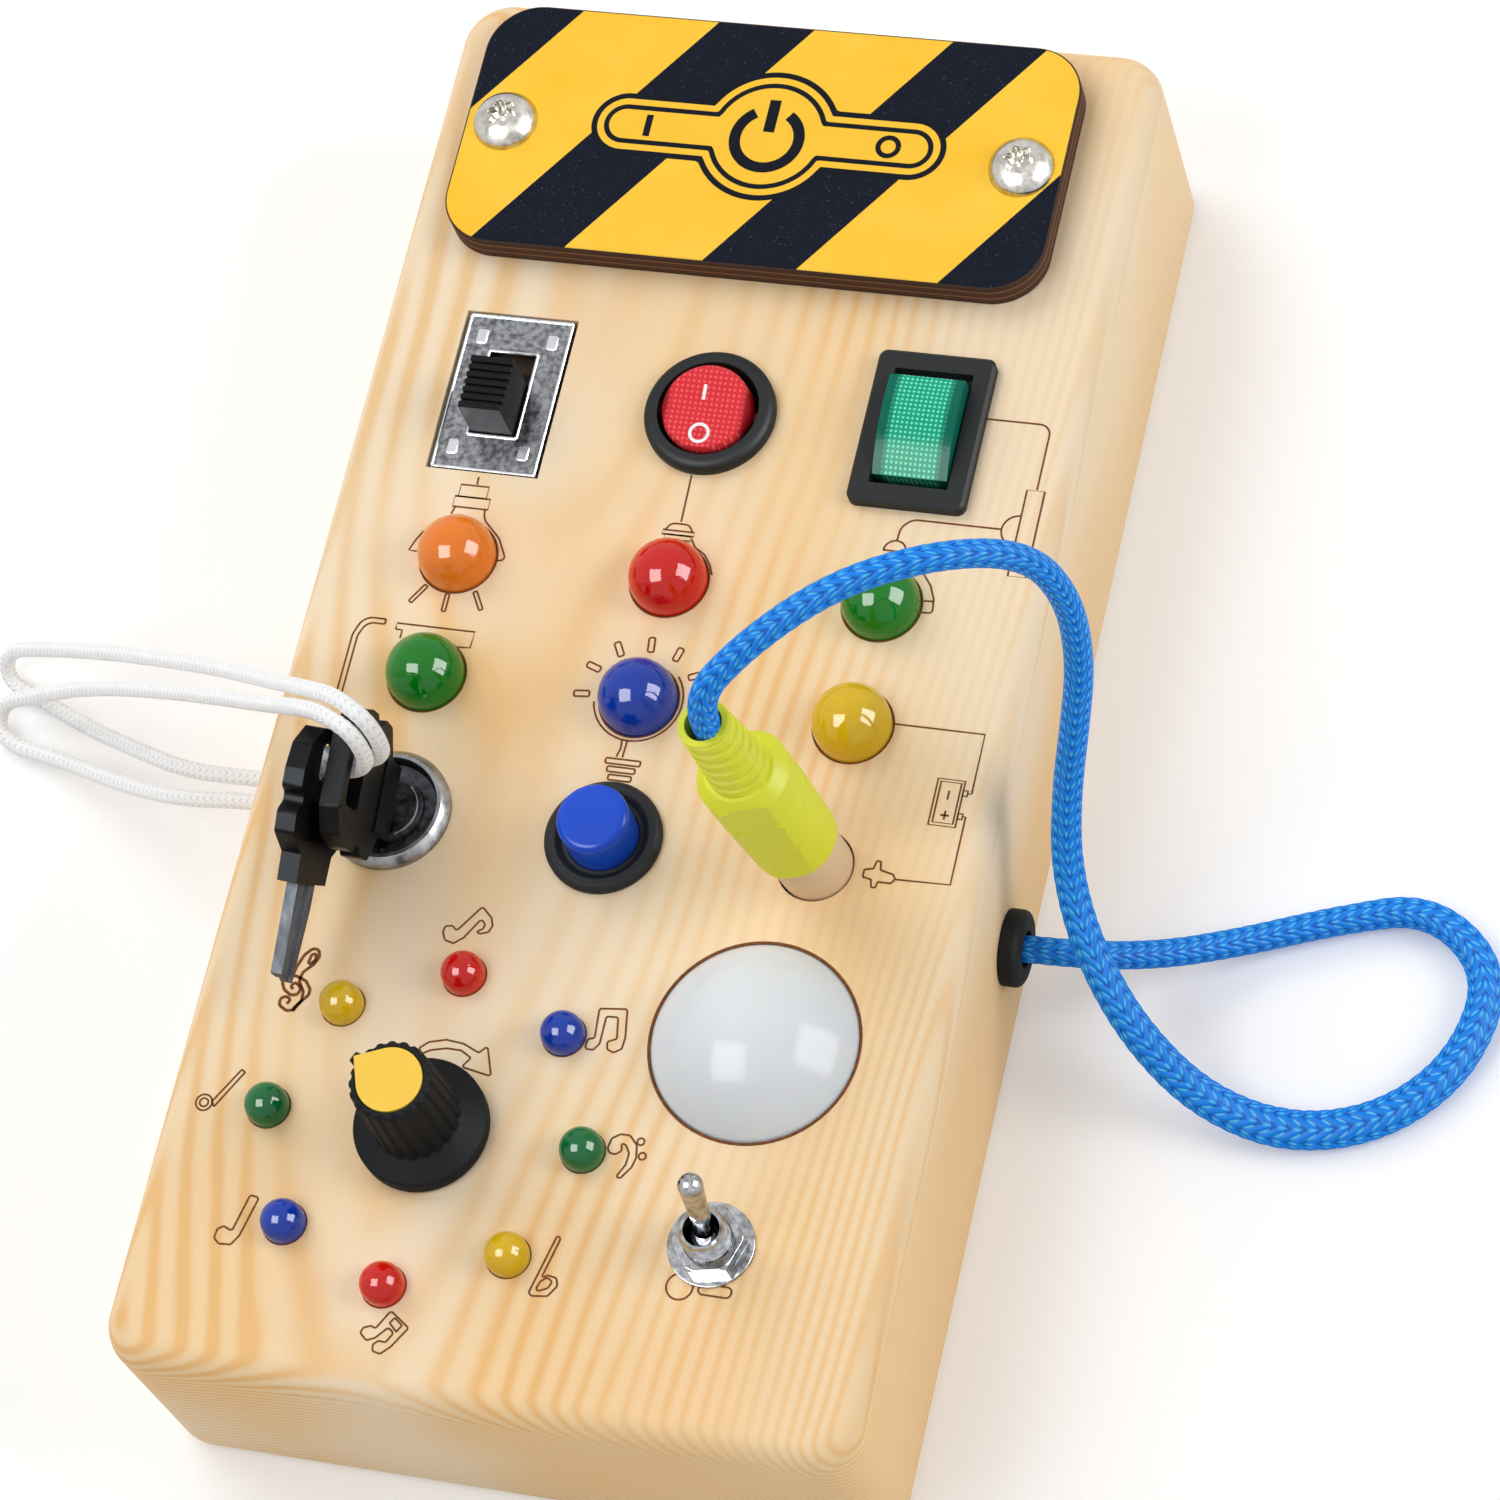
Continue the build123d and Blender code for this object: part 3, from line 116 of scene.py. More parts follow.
# %% Finish a piece
def settle(name, body, mesh, finish, stands_for=(), crease=38, bevel=0.0):
    """Merges doubled points, turns the faces outwards, smooths all but level faces and gives
    the piece its finish, its body and the nodes that it stands for."""
    shape = bmesh.new()
    shape.from_mesh(mesh)
    bmesh.ops.remove_doubles(shape, verts=shape.verts, dist=merge_metres)
    bmesh.ops.recalc_face_normals(shape, faces=shape.faces)
    shape.to_mesh(mesh)
    shape.free()
    mesh.shade_smooth()
    mesh.set_sharp_from_angle(angle=math.radians(crease))
    normals = np.empty(3 * len(mesh.polygons), np.float32)
    mesh.polygons.foreach_get("normal", normals)
    mesh.polygons.foreach_set("use_smooth", np.abs(normals[2::3]) < level_normal)
    piece = bpy.data.objects.new(name, mesh)
    bpy.context.scene.collection.objects.link(piece)
    mesh.materials.clear()
    mesh.materials.append(finish)
    if bevel:
        round_over = piece.modifiers.new("round over", "BEVEL")
        round_over.width = bevel * mm
        round_over.segments = 2
        round_over.limit_method = "ANGLE"
        round_over.angle_limit = math.radians(bevel_angle)
        round_over.harden_normals = True
    if crease < 75:
        flat = piece.modifiers.new("flat faces first", "WEIGHTED_NORMAL")
        flat.keep_sharp = True
    if body:
        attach(piece, body)
    if stands_for:
        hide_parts(*stands_for)
    return piece


def smoothed(node, body, finish, crease=32, bevel=0.0):
    """A merged copy of a node's own mesh, for a shape that is right but whose faces are loose."""
    return settle(node + "_smooth", body, nodes[node].data.copy(), finish, (node,), crease, bevel)


print("rounds start at", bevel_angle, "degrees")

# %% Lines, turned shapes and plates
def rounded_line(points, radii, steps=6, closed=False):
    """Turns each corner of a line into an arc: the two tangent lengths are radius times
    the tangent of half the turn, and the arc is a rational curve weighted by its cosine."""
    points = np.asarray(points, float)
    before, after = np.roll(points, 1, 0), np.roll(points, -1, 0)
    back, ahead = before - points, after - points
    back_l, ahead_l = np.linalg.norm(back, axis=1), np.linalg.norm(ahead, axis=1)
    back, ahead = back / back_l[:, None], ahead / ahead_l[:, None]
    half_turn = (np.pi - np.arccos(np.clip((back * ahead).sum(1), -1, 1))) / 2
    reach = np.broadcast_to(np.asarray(radii, float), len(points)) * np.tan(half_turn)
    reach = np.minimum(reach, 0.49 * np.minimum(back_l, ahead_l))
    if not closed:
        reach = reach * (np.arange(len(points)) % (len(points) - 1) > 0)
    t = np.linspace(0, 1, steps + 1)[None, :, None]
    weight = np.cos(half_turn)[:, None, None]
    first = (points + back * reach[:, None])[:, None]
    last = (points + ahead * reach[:, None])[:, None]
    blend = (1 - t) ** 2, 2 * weight * t * (1 - t), t ** 2
    arc = (blend[0] * first + blend[1] * points[:, None] + blend[2] * last) / sum(blend)
    line = arc.reshape(-1, points.shape[1])
    keep = np.r_[True, np.linalg.norm(np.diff(line, axis=0), axis=1) > 1e-6]
    line = line[keep]
    return np.vstack([line, line[:1]]) if closed else line


def turned(profile, centre=(0.0, 0.0), sides=64):
    """Sweeps radius and height round an upright axis: x = r cos a, y = r sin a, z = height."""
    profile = np.asarray(profile, float)
    angle = np.linspace(0, 2 * np.pi, sides + 1)[:, None]
    x = centre[0] + profile[:, 0] * np.cos(angle)
    y = centre[1] + profile[:, 0] * np.sin(angle)
    return np.stack([x, y, np.broadcast_to(profile[:, 1], x.shape)], -1)


def outwards(loop):
    """Unit normals of a closed loop that runs anticlockwise: its tangent turned by a right angle."""
    ring = loop[:-1]
    tangent = np.roll(ring, -1, 0) - np.roll(ring, 1, 0)
    normal = np.stack([tangent[:, 1], -tangent[:, 0]], -1)
    normal /= np.linalg.norm(normal, axis=1)[:, None]
    return np.vstack([normal, normal[:1]])


def plate(loop, rings, close=True):
    """Stacks copies of a closed loop, each drawn in by an inset and set at a height;
    a point in the middle closes the first and the last."""
    rings = np.asarray(rings, float)
    normal = outwards(loop)
    flat = loop[None] - rings[:, 0, None, None] * normal[None]
    height = np.broadcast_to(rings[:, 1, None, None], flat.shape[:2] + (1,))
    grid = np.concatenate([flat, height], -1)
    if close:
        middle = loop[:-1].mean(0)
        ends = [np.broadcast_to(np.r_[middle, z], grid[:1].shape) for z in (rings[0, 1], rings[-1, 1])]
        grid = np.concatenate([ends[0], grid, ends[1]])
    return grid


def box_loop(width, length, radius, steps=6, centre=(0.0, 0.0)):
    """A rounded rectangle, anticlockwise."""
    w, l = width / 2, length / 2
    corners = np.array([(w, -l), (w, l), (-w, l), (-w, -l)]) + centre
    return rounded_line(corners, radius, steps, closed=True)


print("a rounded square has", len(box_loop(2.0, 2.0, 0.5)), "points")

# %% Moves
def moved(grid, rotation=np.eye(3), shift=(0, 0, 0)):
    """Turns and then shifts every point of a grid."""
    return grid @ np.asarray(rotation).T + np.asarray(shift, float)


def about(axis, degrees):
    """Rotation matrix about x, y or z."""
    c, s = math.cos(math.radians(degrees)), math.sin(math.radians(degrees))
    turns = {"x": [[1, 0, 0], [0, c, -s], [0, s, c]], "y": [[c, 0, s], [0, 1, 0], [-s, 0, c]]}
    return np.array(turns.get(axis, [[c, -s, 0], [s, c, 0], [0, 0, 1]]))


print("a quarter turn about z", about("z", 90).round(1).tolist())

# %% [markdown]
# ## Helpers for finishes
# A finish starts from what the real surface is. Colours are written as sRGB hex
# values and turned to linear light by one function. One small function adds a node, and
# its sockets are given by name or by number. A Mix node takes its factor at 0 and its
# colours at 6 and 7. A Map Range node takes its value at 0, the range it comes from at
# 1 and 2, and the range it goes to at 3 and 4.

# %% Nodes and colours
def linear(hex_colour):
    """sRGB hex to linear red, green, blue, alpha."""
    value = np.array([int(hex_colour[i:i + 2], 16) / 255 for i in (1, 3, 5)])
    value = np.where(value <= 0.04045, value / 12.92, ((value + 0.055) / 1.055) ** 2.4)
    return (*value.tolist(), 1.0)


def shaded(hex_colour, share):
    """The same hex colour, darker or lighter by a share."""
    return "#%02X%02X%02X" % tuple(min(255, int(int(hex_colour[i:i + 2], 16) * share)) for i in (1, 3, 5))


def feed(tree, node, inputs):
    """Gives a node's sockets their values or what feeds them: another socket, or a node, read
    at its first output."""
    for key, value in dict(inputs).items():
        if isinstance(value, bpy.types.Node):
            value = value.outputs[0]
        if isinstance(value, bpy.types.NodeSocket):
            tree.links.new(value, node.inputs[key])
        else:
            node.inputs[key].default_value = value


def add(tree, kind, inputs=(), stops=(), **settings):
    """Adds one node. The settings are its properties, the inputs go to its sockets, and the
    stops are the positions and colours of a ramp."""
    made = tree.nodes.new("ShaderNode" + kind)
    for key, value in settings.items():
        setattr(made, key, value)
    if stops:
        elements = made.color_ramp.elements
        while len(elements) < len(stops):
            elements.new(0.5)
        for element, (position, colour) in zip(elements, stops):
            element.position = position
            element.color = linear(colour)
    feed(tree, made, inputs)
    return made


def shader(name, colour, roughness, **more):
    """A material with its own surface shader; returns the material, its tree and the shader."""
    material = bpy.data.materials.new(name)
    material.use_nodes = True
    tree = material.node_tree
    surface_node = tree.nodes["Principled BSDF"]
    surface_node.inputs["Base Color"].default_value = linear(colour)
    surface_node.inputs["Roughness"].default_value = roughness
    surface_node.inputs["Specular IOR Level"].default_value = 0.2
    for key, value in more.items():
        surface_node.inputs[key.replace("_", " ")].default_value = value
    material.diffuse_color = linear(colour)
    return material, tree, surface_node


def grit(tree, size_mm, stretch=(1, 1, 1), detail=3.0, rough=0.5):
    """Noise whose grains are about size_mm, stretched along the axes by the given factors."""
    place = add(tree, "TexCoord").outputs["Object"]
    scale = [1000.0 / (size_mm * s) for s in stretch]
    place = add(tree, "Mapping", {"Vector": place, "Scale": scale})
    return add(tree, "TexNoise", {"Vector": place, "Scale": 1.0, "Detail": detail, "Roughness": rough})


print("white is", [round(c, 3) for c in linear("#FFFFFF")])

# %% [markdown]
# ## Plastics, lenses and metals
# Most of the controls are moulded plastic. Its finish is even, with a fine spark
# texture from the mould, so one recipe with a little grit serves all of them. The
# lamps are cast epoxy: coloured through, smooth as glass, and light spreads in them.

# %% Moulded plastics
def moulded(name, colour, roughness, grain=0.35, depth=0.004, tint=0.0, **more):
    """Spark-eroded mould finish: fine grit in the surface and a faint change of shade."""
    material, tree, bsdf = shader(name, colour, roughness, **more)
    spark = add(tree, "Bump", {"Height": grit(tree, grain, detail=2.0), "Distance": depth * mm})
    feed(tree, bsdf, {"Normal": spark})
    if tint:
        darker = tuple(c * (1 - tint) for c in linear(colour)[:3]) + (1.0,)
        shade = add(tree, "Mix", {0: grit(tree, 6.0), 6: linear(colour), 7: darker}, data_type="RGBA")
        feed(tree, bsdf, {"Base Color": shade.outputs[2]})
    return material


print("plastics have spark grit and cast lamps have none")

# %% Cast epoxy and the plastics in use
def cast_epoxy(name, colour, deep):
    """Cast epoxy, smooth as its polished mould: a clear skin over a body that spreads light. It gives
    the eye one sharp glint and a deep even colour, with a painted rim light: brighter at the rim, where light
    passes."""
    material, tree, bsdf = shader(name, colour, 0.07, Specular_IOR_Level=0.4, Subsurface_Weight=0.12,
                                  Subsurface_Scale=0.001)
    bsdf.inputs["Subsurface Radius"].default_value = tuple(0.3 + c for c in linear(colour)[:3])
    # Painted rim light: where the dome turns away from the camera, its colour goes over to the rim colour.
    rim = add(tree, "LayerWeight", {"Blend": 0.35}).outputs["Facing"]
    body = add(tree, "ValToRGB", {0: rim}, stops=[(0.3, colour), (0.9, deep)])
    cloud = add(tree, "Mix", {0: grit(tree, 2.2, detail=1.0), 6: body, 7: (0.86, 0.86, 0.86, 1)},
                data_type="RGBA", blend_type="MULTIPLY")
    feed(tree, bsdf, {"Base Color": cloud.outputs[2]})
    return material


# Black plastic from a spark-eroded mould: a weak sheen, a little cooler than the light.
cool_gloss = dict(Specular_IOR_Level=0.1, Specular_Tint=(0.86, 0.93, 1.0, 1.0))
# Switch bodies are satin, with a broad soft sheen.
black_abs = moulded("moulded ABS black", "#131415", 0.42, **cool_gloss)
# The knob has a coarser grit for the fingers and looks nearly matt.
knob_abs = moulded("moulded ABS knob black", "#141516", 0.6, grain=0.5, depth=0.01, **cool_gloss)
# Nylon flows better, so the keys' heads are smoother and their rims catch a clear line.
key_nylon = moulded("moulded nylon key black", "#0D0D0E", 0.36, grain=0.5, depth=0.006, **cool_gloss)
# Soft PVC lets light in a little, so its shaded side stays bright.
plug_pvc = moulded("moulded PVC yellow-green", "#E6E838", 0.42, tint=0.08, Subsurface_Weight=0.1,
                   Subsurface_Scale=0.001)
# The plug's collar is unpolished and dull, the pointer cap and the button are polished and shine.
collar_abs = moulded("moulded ABS beige", "#E2C7A3", 0.55)
cap_abs = moulded("moulded ABS yellow", "#F8CB48", 0.34)
button_abs = moulded("moulded ABS blue", "#1950D6", 0.24)
# Rubber is matt.
rubber = moulded("moulded rubber black", "#141414", 0.7, depth=0.01)
# Each lamp's first colour is its own, and the second is the colour of its painted rim light.
epoxy = {
    "orange": cast_epoxy("cast epoxy orange", "#F5831C", "#F0964A"),
    "red": cast_epoxy("cast epoxy red", "#D61306", "#F04A18"),
    "green": cast_epoxy("cast epoxy green", "#027F14", "#5C8E34"),
    "deep green": cast_epoxy("cast epoxy deep green", "#037038", "#2E8A5A"),
    "blue": cast_epoxy("cast epoxy blue", "#0A3AAE", "#2E50A8"),
    "yellow": cast_epoxy("cast epoxy yellow", "#E6BC0A", "#D8B830"),
}
print("lamp colours", sorted(epoxy))

# %% Metals
def metal(name, colour, roughness, patch=0.0, patch_mm=1.5, depth=0.002, stretch=(1, 1, 1)):
    """Bare or plated metal: its roughness and shade drift in patches."""
    material, tree, bsdf = shader(name, colour, roughness, Metallic=1.0)
    drift = grit(tree, patch_mm, stretch, detail=4.0, rough=0.6)
    if patch:
        shade = add(tree, "ValToRGB", {0: drift}, stops=[(0.35, shaded(colour, 1 - patch)), (0.62, colour)])
        feed(tree, bsdf, {"Base Color": shade})
    spread = add(tree, "MapRange", {0: drift, 1: 0.3, 2: 0.7, 3: roughness * 0.7,
                                    4: min(1.0, roughness * 1.5)})
    ripple = add(tree, "Bump", {"Height": drift, "Distance": depth * mm})
    feed(tree, bsdf, {"Roughness": spread, "Normal": ripple})
    return material


# Plating follows the metal under it. Chrome is nearly a mirror and shows the bright and dark
# parts of the room, here as patches of darker shade, a painted reflection; nickel is warmer and softer, and
# zinc is grey and cloudy.
chrome = metal("chrome plate", "#BEC0C3", 0.1, patch=0.3, patch_mm=1.2)
zinc_steel = metal("zinc plated steel", "#A6A8AB", 0.26, patch=0.25, patch_mm=3.0)
nickel = metal("nickel plate", "#CFCCC4", 0.2, patch=0.15)
# Sheet steel keeps the dents of its die when it is stamped, and is even where it is rolled.
stamped_steel = metal("stamped steel", "#9EA0A4", 0.2, patch=0.4, patch_mm=0.8, depth=0.006)
# The slide switch's rolled edges and clips are paler than its plate: a painted highlight.
edge_highlight_steel = metal("rolled steel with painted highlight", "#CDCFD1", 0.25)
# A key's blade is ground lengthwise and looks dull. Blackened steel is dark and slightly glossy.
key_steel = metal("ground steel", "#565A60", 0.6, patch=0.15, stretch=(1, 8, 1))
dark_steel = metal("blackened steel", "#55565A", 0.3, patch=0.35)
print("metals ready")

# %% [markdown]
# ## The cords
# A cord is a fixed length of something flexible. Its line is a smooth spline through
# the air and over the table, and the braid is a surface that follows that line: a
# ring of radius r carried along the path, raised where a strand lies on top.

# %% Cord routes
plug_lean = np.array([-0.107, -0.03, 1.0])
plug_lean /= np.linalg.norm(plug_lean)
plug_foot = np.array([26.9, -21.4, face])
cord_route = [
    plug_foot + plug_lean * 38.2, plug_foot + plug_lean * 47.7,
    (29.0, -17.5, 86.9), (39.0, -10.0, 90.2), (50.0, -3.8, 88.0),
    (57.3, 1.0, 79.7), (60.0, 1.6, 68.0), (60.1, -1.0, 56.4), (58.4, -4.6, 45.8),
    (56.6, -9.0, 35.6), (56.2, -15.2, 26.0), (59.6, -23.0, 19.0), (66.0, -30.4, 12.2),
    (74.3, -35.0, 4.5), (85.4, -36.9, 2.2), (96.6, -33.4, 2.2), (104.6, -24.6, 2.2),
    (106.6, -12.2, 2.2), (97.2, -4.4, 2.2), (85.6, -7.9, 2.2), (74.8, -12.5, 2.8),
    (65.4, -17.6, 7.2), (55.6, -21.7, 14.1), (45.0, -21.7, 14.1)]
lanyard_route = [
    (-43.0, -12.7, 16.2), (-54.0, -12.7, 16.2), (-64.5, -12.2, 14.4), (-76.9, -6.9, 8.0),
    (-84.5, -3.3, 3.1), (-93.5, 0.9, 1.1), (-99.0, 3.0, 1.2), (-98.6, 5.8, 5.2), (-91.0, 4.6, 9.8),
    (-79.1, 1.3, 18.8), (-65.7, -3.0, 28.8), (-54.0, -7.2, 37.9), (-42.5, -12.0, 47.0),
    (-33.8, -16.2, 55.6), (-28.8, -18.4, 59.6), (-23.4, -21.5, 59.1), (-24.2, -21.9, 49.0),
    (-35.1, -21.7, 49.0), (-35.1, -19.7, 42.8), (-35.1, -26.3, 42.8), (-35.1, -24.0, 50.1),
    (-25.5, -23.9, 50.1), (-25.3, -22.9, 58.7), (-30.2, -20.5, 58.7), (-34.8, -18.3, 54.6),
    (-43.2, -14.6, 45.6), (-55.3, -10.1, 35.4), (-68.2, -6.0, 25.4), (-81.4, -2.6, 15.4),
    (-92.2, -1.2, 6.8), (-98.4, -1.0, 2.8), (-97.6, -6.0, 1.1), (-87.5, -7.9, 2.0),
    (-74.8, -13.0, 8.8), (-64.0, -16.4, 15.0), (-54.0, -15.9, 16.2), (-43.0, -15.9, 16.2)]


print("route points", len(cord_route), len(lanyard_route))

# %% From a route to even points
def spline_points(route, step):
    """Reads evenly spaced points, in millimetres, from a smooth spline with the route as its controls."""
    curve = bpy.data.curves.new("route", "CURVE")
    curve.dimensions = "3D"
    line = curve.splines.new("NURBS")
    line.points.add(len(route) - 1)
    controls = np.column_stack([np.array([np.array(p) for p in route]) * mm, np.ones(len(route))])
    line.points.foreach_set("co", controls.ravel())
    line.order_u = 3
    line.use_endpoint_u = True
    line.resolution_u = 40
    holder = bpy.data.objects.new("route", curve)
    bpy.context.scene.collection.objects.link(holder)
    read = bpy.data.meshes.new_from_object(holder.evaluated_get(bpy.context.evaluated_depsgraph_get()))
    points = np.zeros(len(read.vertices) * 3)
    read.vertices.foreach_get("co", points)
    points = points.reshape(-1, 3) / mm
    bpy.data.objects.remove(holder)
    bpy.data.curves.remove(curve)
    bpy.data.meshes.remove(read)
    along = np.r_[0, np.cumsum(np.linalg.norm(np.diff(points, axis=0), axis=1))]
    places = np.linspace(0, along[-1], int(round(along[-1] / step)) + 1)
    return np.stack([np.interp(places, along, points[:, k]) for k in range(3)], -1), along[-1]


cord_path, cord_length = spline_points(cord_route, 0.22)
lanyard_path, lanyard_length = spline_points(lanyard_route, 0.18)
print("cord", round(cord_length), "mm, lanyard", round(lanyard_length), "mm")

# %% Braid
braid_lean = 1.3


def carried_ring(path):
    """Two unit vectors across the path at each point. The first is carried along the path
    by removing, at each step, what points along the tangent, so that the ring doesn't twist."""
    tangent = np.gradient(path, axis=0)
    tangent /= np.linalg.norm(tangent, axis=1)[:, None]
    side = np.cross(tangent[0], (0.3, 0.9, 0.1))
    sides = []
    for t in tangent:
        side = side - t * (side @ t)
        side = side / np.linalg.norm(side)
        sides.append(side)
    sides = np.array(sides)
    return tangent, sides, np.cross(tangent, sides)


def braid(path, radius, columns, pitch, relief, sides, wide=None):
    """A braided tube. Its strands lie in columns along the cord and lean by turns to the
    left and to the right, so they meet in a row of Vs. With c = columns x angle and f its
    distance from the middle of a column, a strand's height is |cos(pi (s / pitch +- lean f))|.
    Where wide is given, the ring is an oval, that much wider across than its radius."""
    tangent, side, up = carried_ring(path)
    along = np.arange(len(path)) * np.linalg.norm(path[1] - path[0])
    angle = np.linspace(0, 2 * np.pi, sides + 1)
    column = columns * angle[None] / (2 * np.pi)
    from_middle = column - np.floor(column) - 0.5
    lean = (1 - 2 * np.mod(np.floor(column), 2)) * braid_lean * from_middle
    lift = np.abs(np.cos(np.pi * (along[:, None] / pitch + lean))) ** 0.7 * (1 - 1.6 * from_middle ** 2)
    r = radius - relief + relief * 2 * lift
    if wide is not None:
        to_camera = camera_place - path
        side = np.cross(tangent, to_camera)
        side /= np.linalg.norm(side, axis=1)[:, None]
        up = np.cross(tangent, side) / wide[:, None]
        side = side * wide[:, None]
    points = path[:, None] + r[..., None] * (np.cos(angle)[None, :, None] * side[:, None]
                                             + np.sin(angle)[None, :, None] * up[:, None])
    uv = np.stack(np.broadcast_arrays(along[:, None] / pitch, angle[None] / (2 * np.pi)), -1)
    return points, uv


print("a strand leans", braid_lean, "pitches across its column")

# %% Braided polyester
def woven(name, colour, dark, painted_glint_colour, columns, roughness=0.5, **more):
    """Braided polyester: painted shade darkens a strand in its gap, and a painted glint in a paler shade
    lights its end.
    The strands are those of the braid function, worked out again from the piece's own map."""
    material, tree, bsdf = shader(name, colour, roughness, Specular_IOR_Level=0.15, **more)
    place = add(tree, "UVMap", uv_map="along").outputs["UV"]
    axis = add(tree, "SeparateXYZ", {0: place})
    column = add(tree, "Math", {0: axis.outputs[1], 1: columns}, operation="MULTIPLY")
    from_middle = add(tree, "Math", {0: column}, operation="FRACT")
    from_middle = add(tree, "Math", {0: from_middle, 1: 0.5}, operation="SUBTRACT")
    lean = add(tree, "Math", {0: column}, operation="FLOOR")
    lean = add(tree, "Math", {0: lean, 1: 1.0}, operation="PINGPONG")
    lean = add(tree, "Math", {0: lean, 1: -2.0, 2: 1.0}, operation="MULTIPLY_ADD")
    phase = add(tree, "Math", {0: lean, 1: from_middle}, operation="MULTIPLY")
    phase = add(tree, "Math", {0: phase, 1: braid_lean, 2: axis}, operation="MULTIPLY_ADD")
    top = add(tree, "Math", {0: phase, 1: math.pi}, operation="MULTIPLY")
    top = add(tree, "Math", {0: top}, operation="COSINE")
    top = add(tree, "Math", {0: top}, operation="ABSOLUTE")
    end = add(tree, "Math", {0: from_middle}, operation="ABSOLUTE")
    end = add(tree, "Math", {0: end, 1: 2.0, 2: -0.62}, operation="MULTIPLY_ADD")
    # Painted glint: a paler colour on the high part of each strand's end.
    glint = add(tree, "Math", {0: top, 1: 0.55}, operation="SUBTRACT")
    glint = add(tree, "Math", {0: glint, 1: end}, operation="MULTIPLY")
    # Painted shade: a strand darkens where it sinks into the gap between strands.
    base = add(tree, "ValToRGB", {0: top}, stops=[(0.05, dark), (0.5, colour)])
    shown = add(tree, "MapRange", {0: glint, 1: 0.04, 2: 0.13})
    mix = add(tree, "Mix", {0: shown, 6: base, 7: linear(painted_glint_colour)}, data_type="RGBA")
    strand = add(tree, "Bump", {"Height": top, "Distance": 0.05 * mm})
    feed(tree, bsdf, {"Base Color": mix.outputs[2], "Normal": strand})
    return material


cord_radius, lanyard_radius = 2.0, 1.05
cord_columns, lanyard_columns = 8, 6
# A braid's colours: the strand's own colour, its painted gap shade and its painted glint.
blue_braid = woven("braided polyester blue", "#0282EA", "#0349A6", "#54C0F4", cord_columns)
white_braid = woven("braided polyester white", "#FBFBFB", "#D9DBDF", "#FFFFFF", lanyard_columns)
print("strand columns", cord_columns, lanyard_columns)

# %% Both cords
cord_widths = [(0.0, 0.86), (0.12, 0.82), (0.25, 0.84), (0.4, 0.9), (0.5, 1.05), (0.6, 1.22), (0.72, 1.1),
               (0.82, 0.9), (1.0, 0.84)]
seen_width = np.interp(np.linspace(0, 1, len(cord_path)), *zip(*cord_widths))
grid, uv = braid(cord_path, cord_radius, cord_columns, pitch=1.9, relief=0.12, sides=80, wide=seen_width)
cord = surface("blue_braided_cord", None, [grid], blue_braid, ("plug_cord",), crease=80, uv=uv)
grid, uv = braid(lanyard_path, lanyard_radius, lanyard_columns, pitch=1.0, relief=0.04, sides=36)
lanyard = surface("white_lanyard", None, [grid], white_braid, ("lanyard",), crease=80, uv=uv)
print("cord faces", len(cord.data.polygons), "lanyard faces", len(lanyard.data.polygons))

# %% [markdown]
# ## The wooden body
# The body is one block of pine, routed hollow from behind. Pine shows its growth
# rings: on the face they run as streaks along the block and curve where the saw met
# the rings at a flat angle, and on the end they run as close lines. So the ring
# pattern is not painted on. It is a solid pattern: a slightly curved stack of layers
# through the block, bent by slow noise, and each side shows its own cut through it.

# %% Pine
layers_per_mm = 0.85          # growth layers down through the block


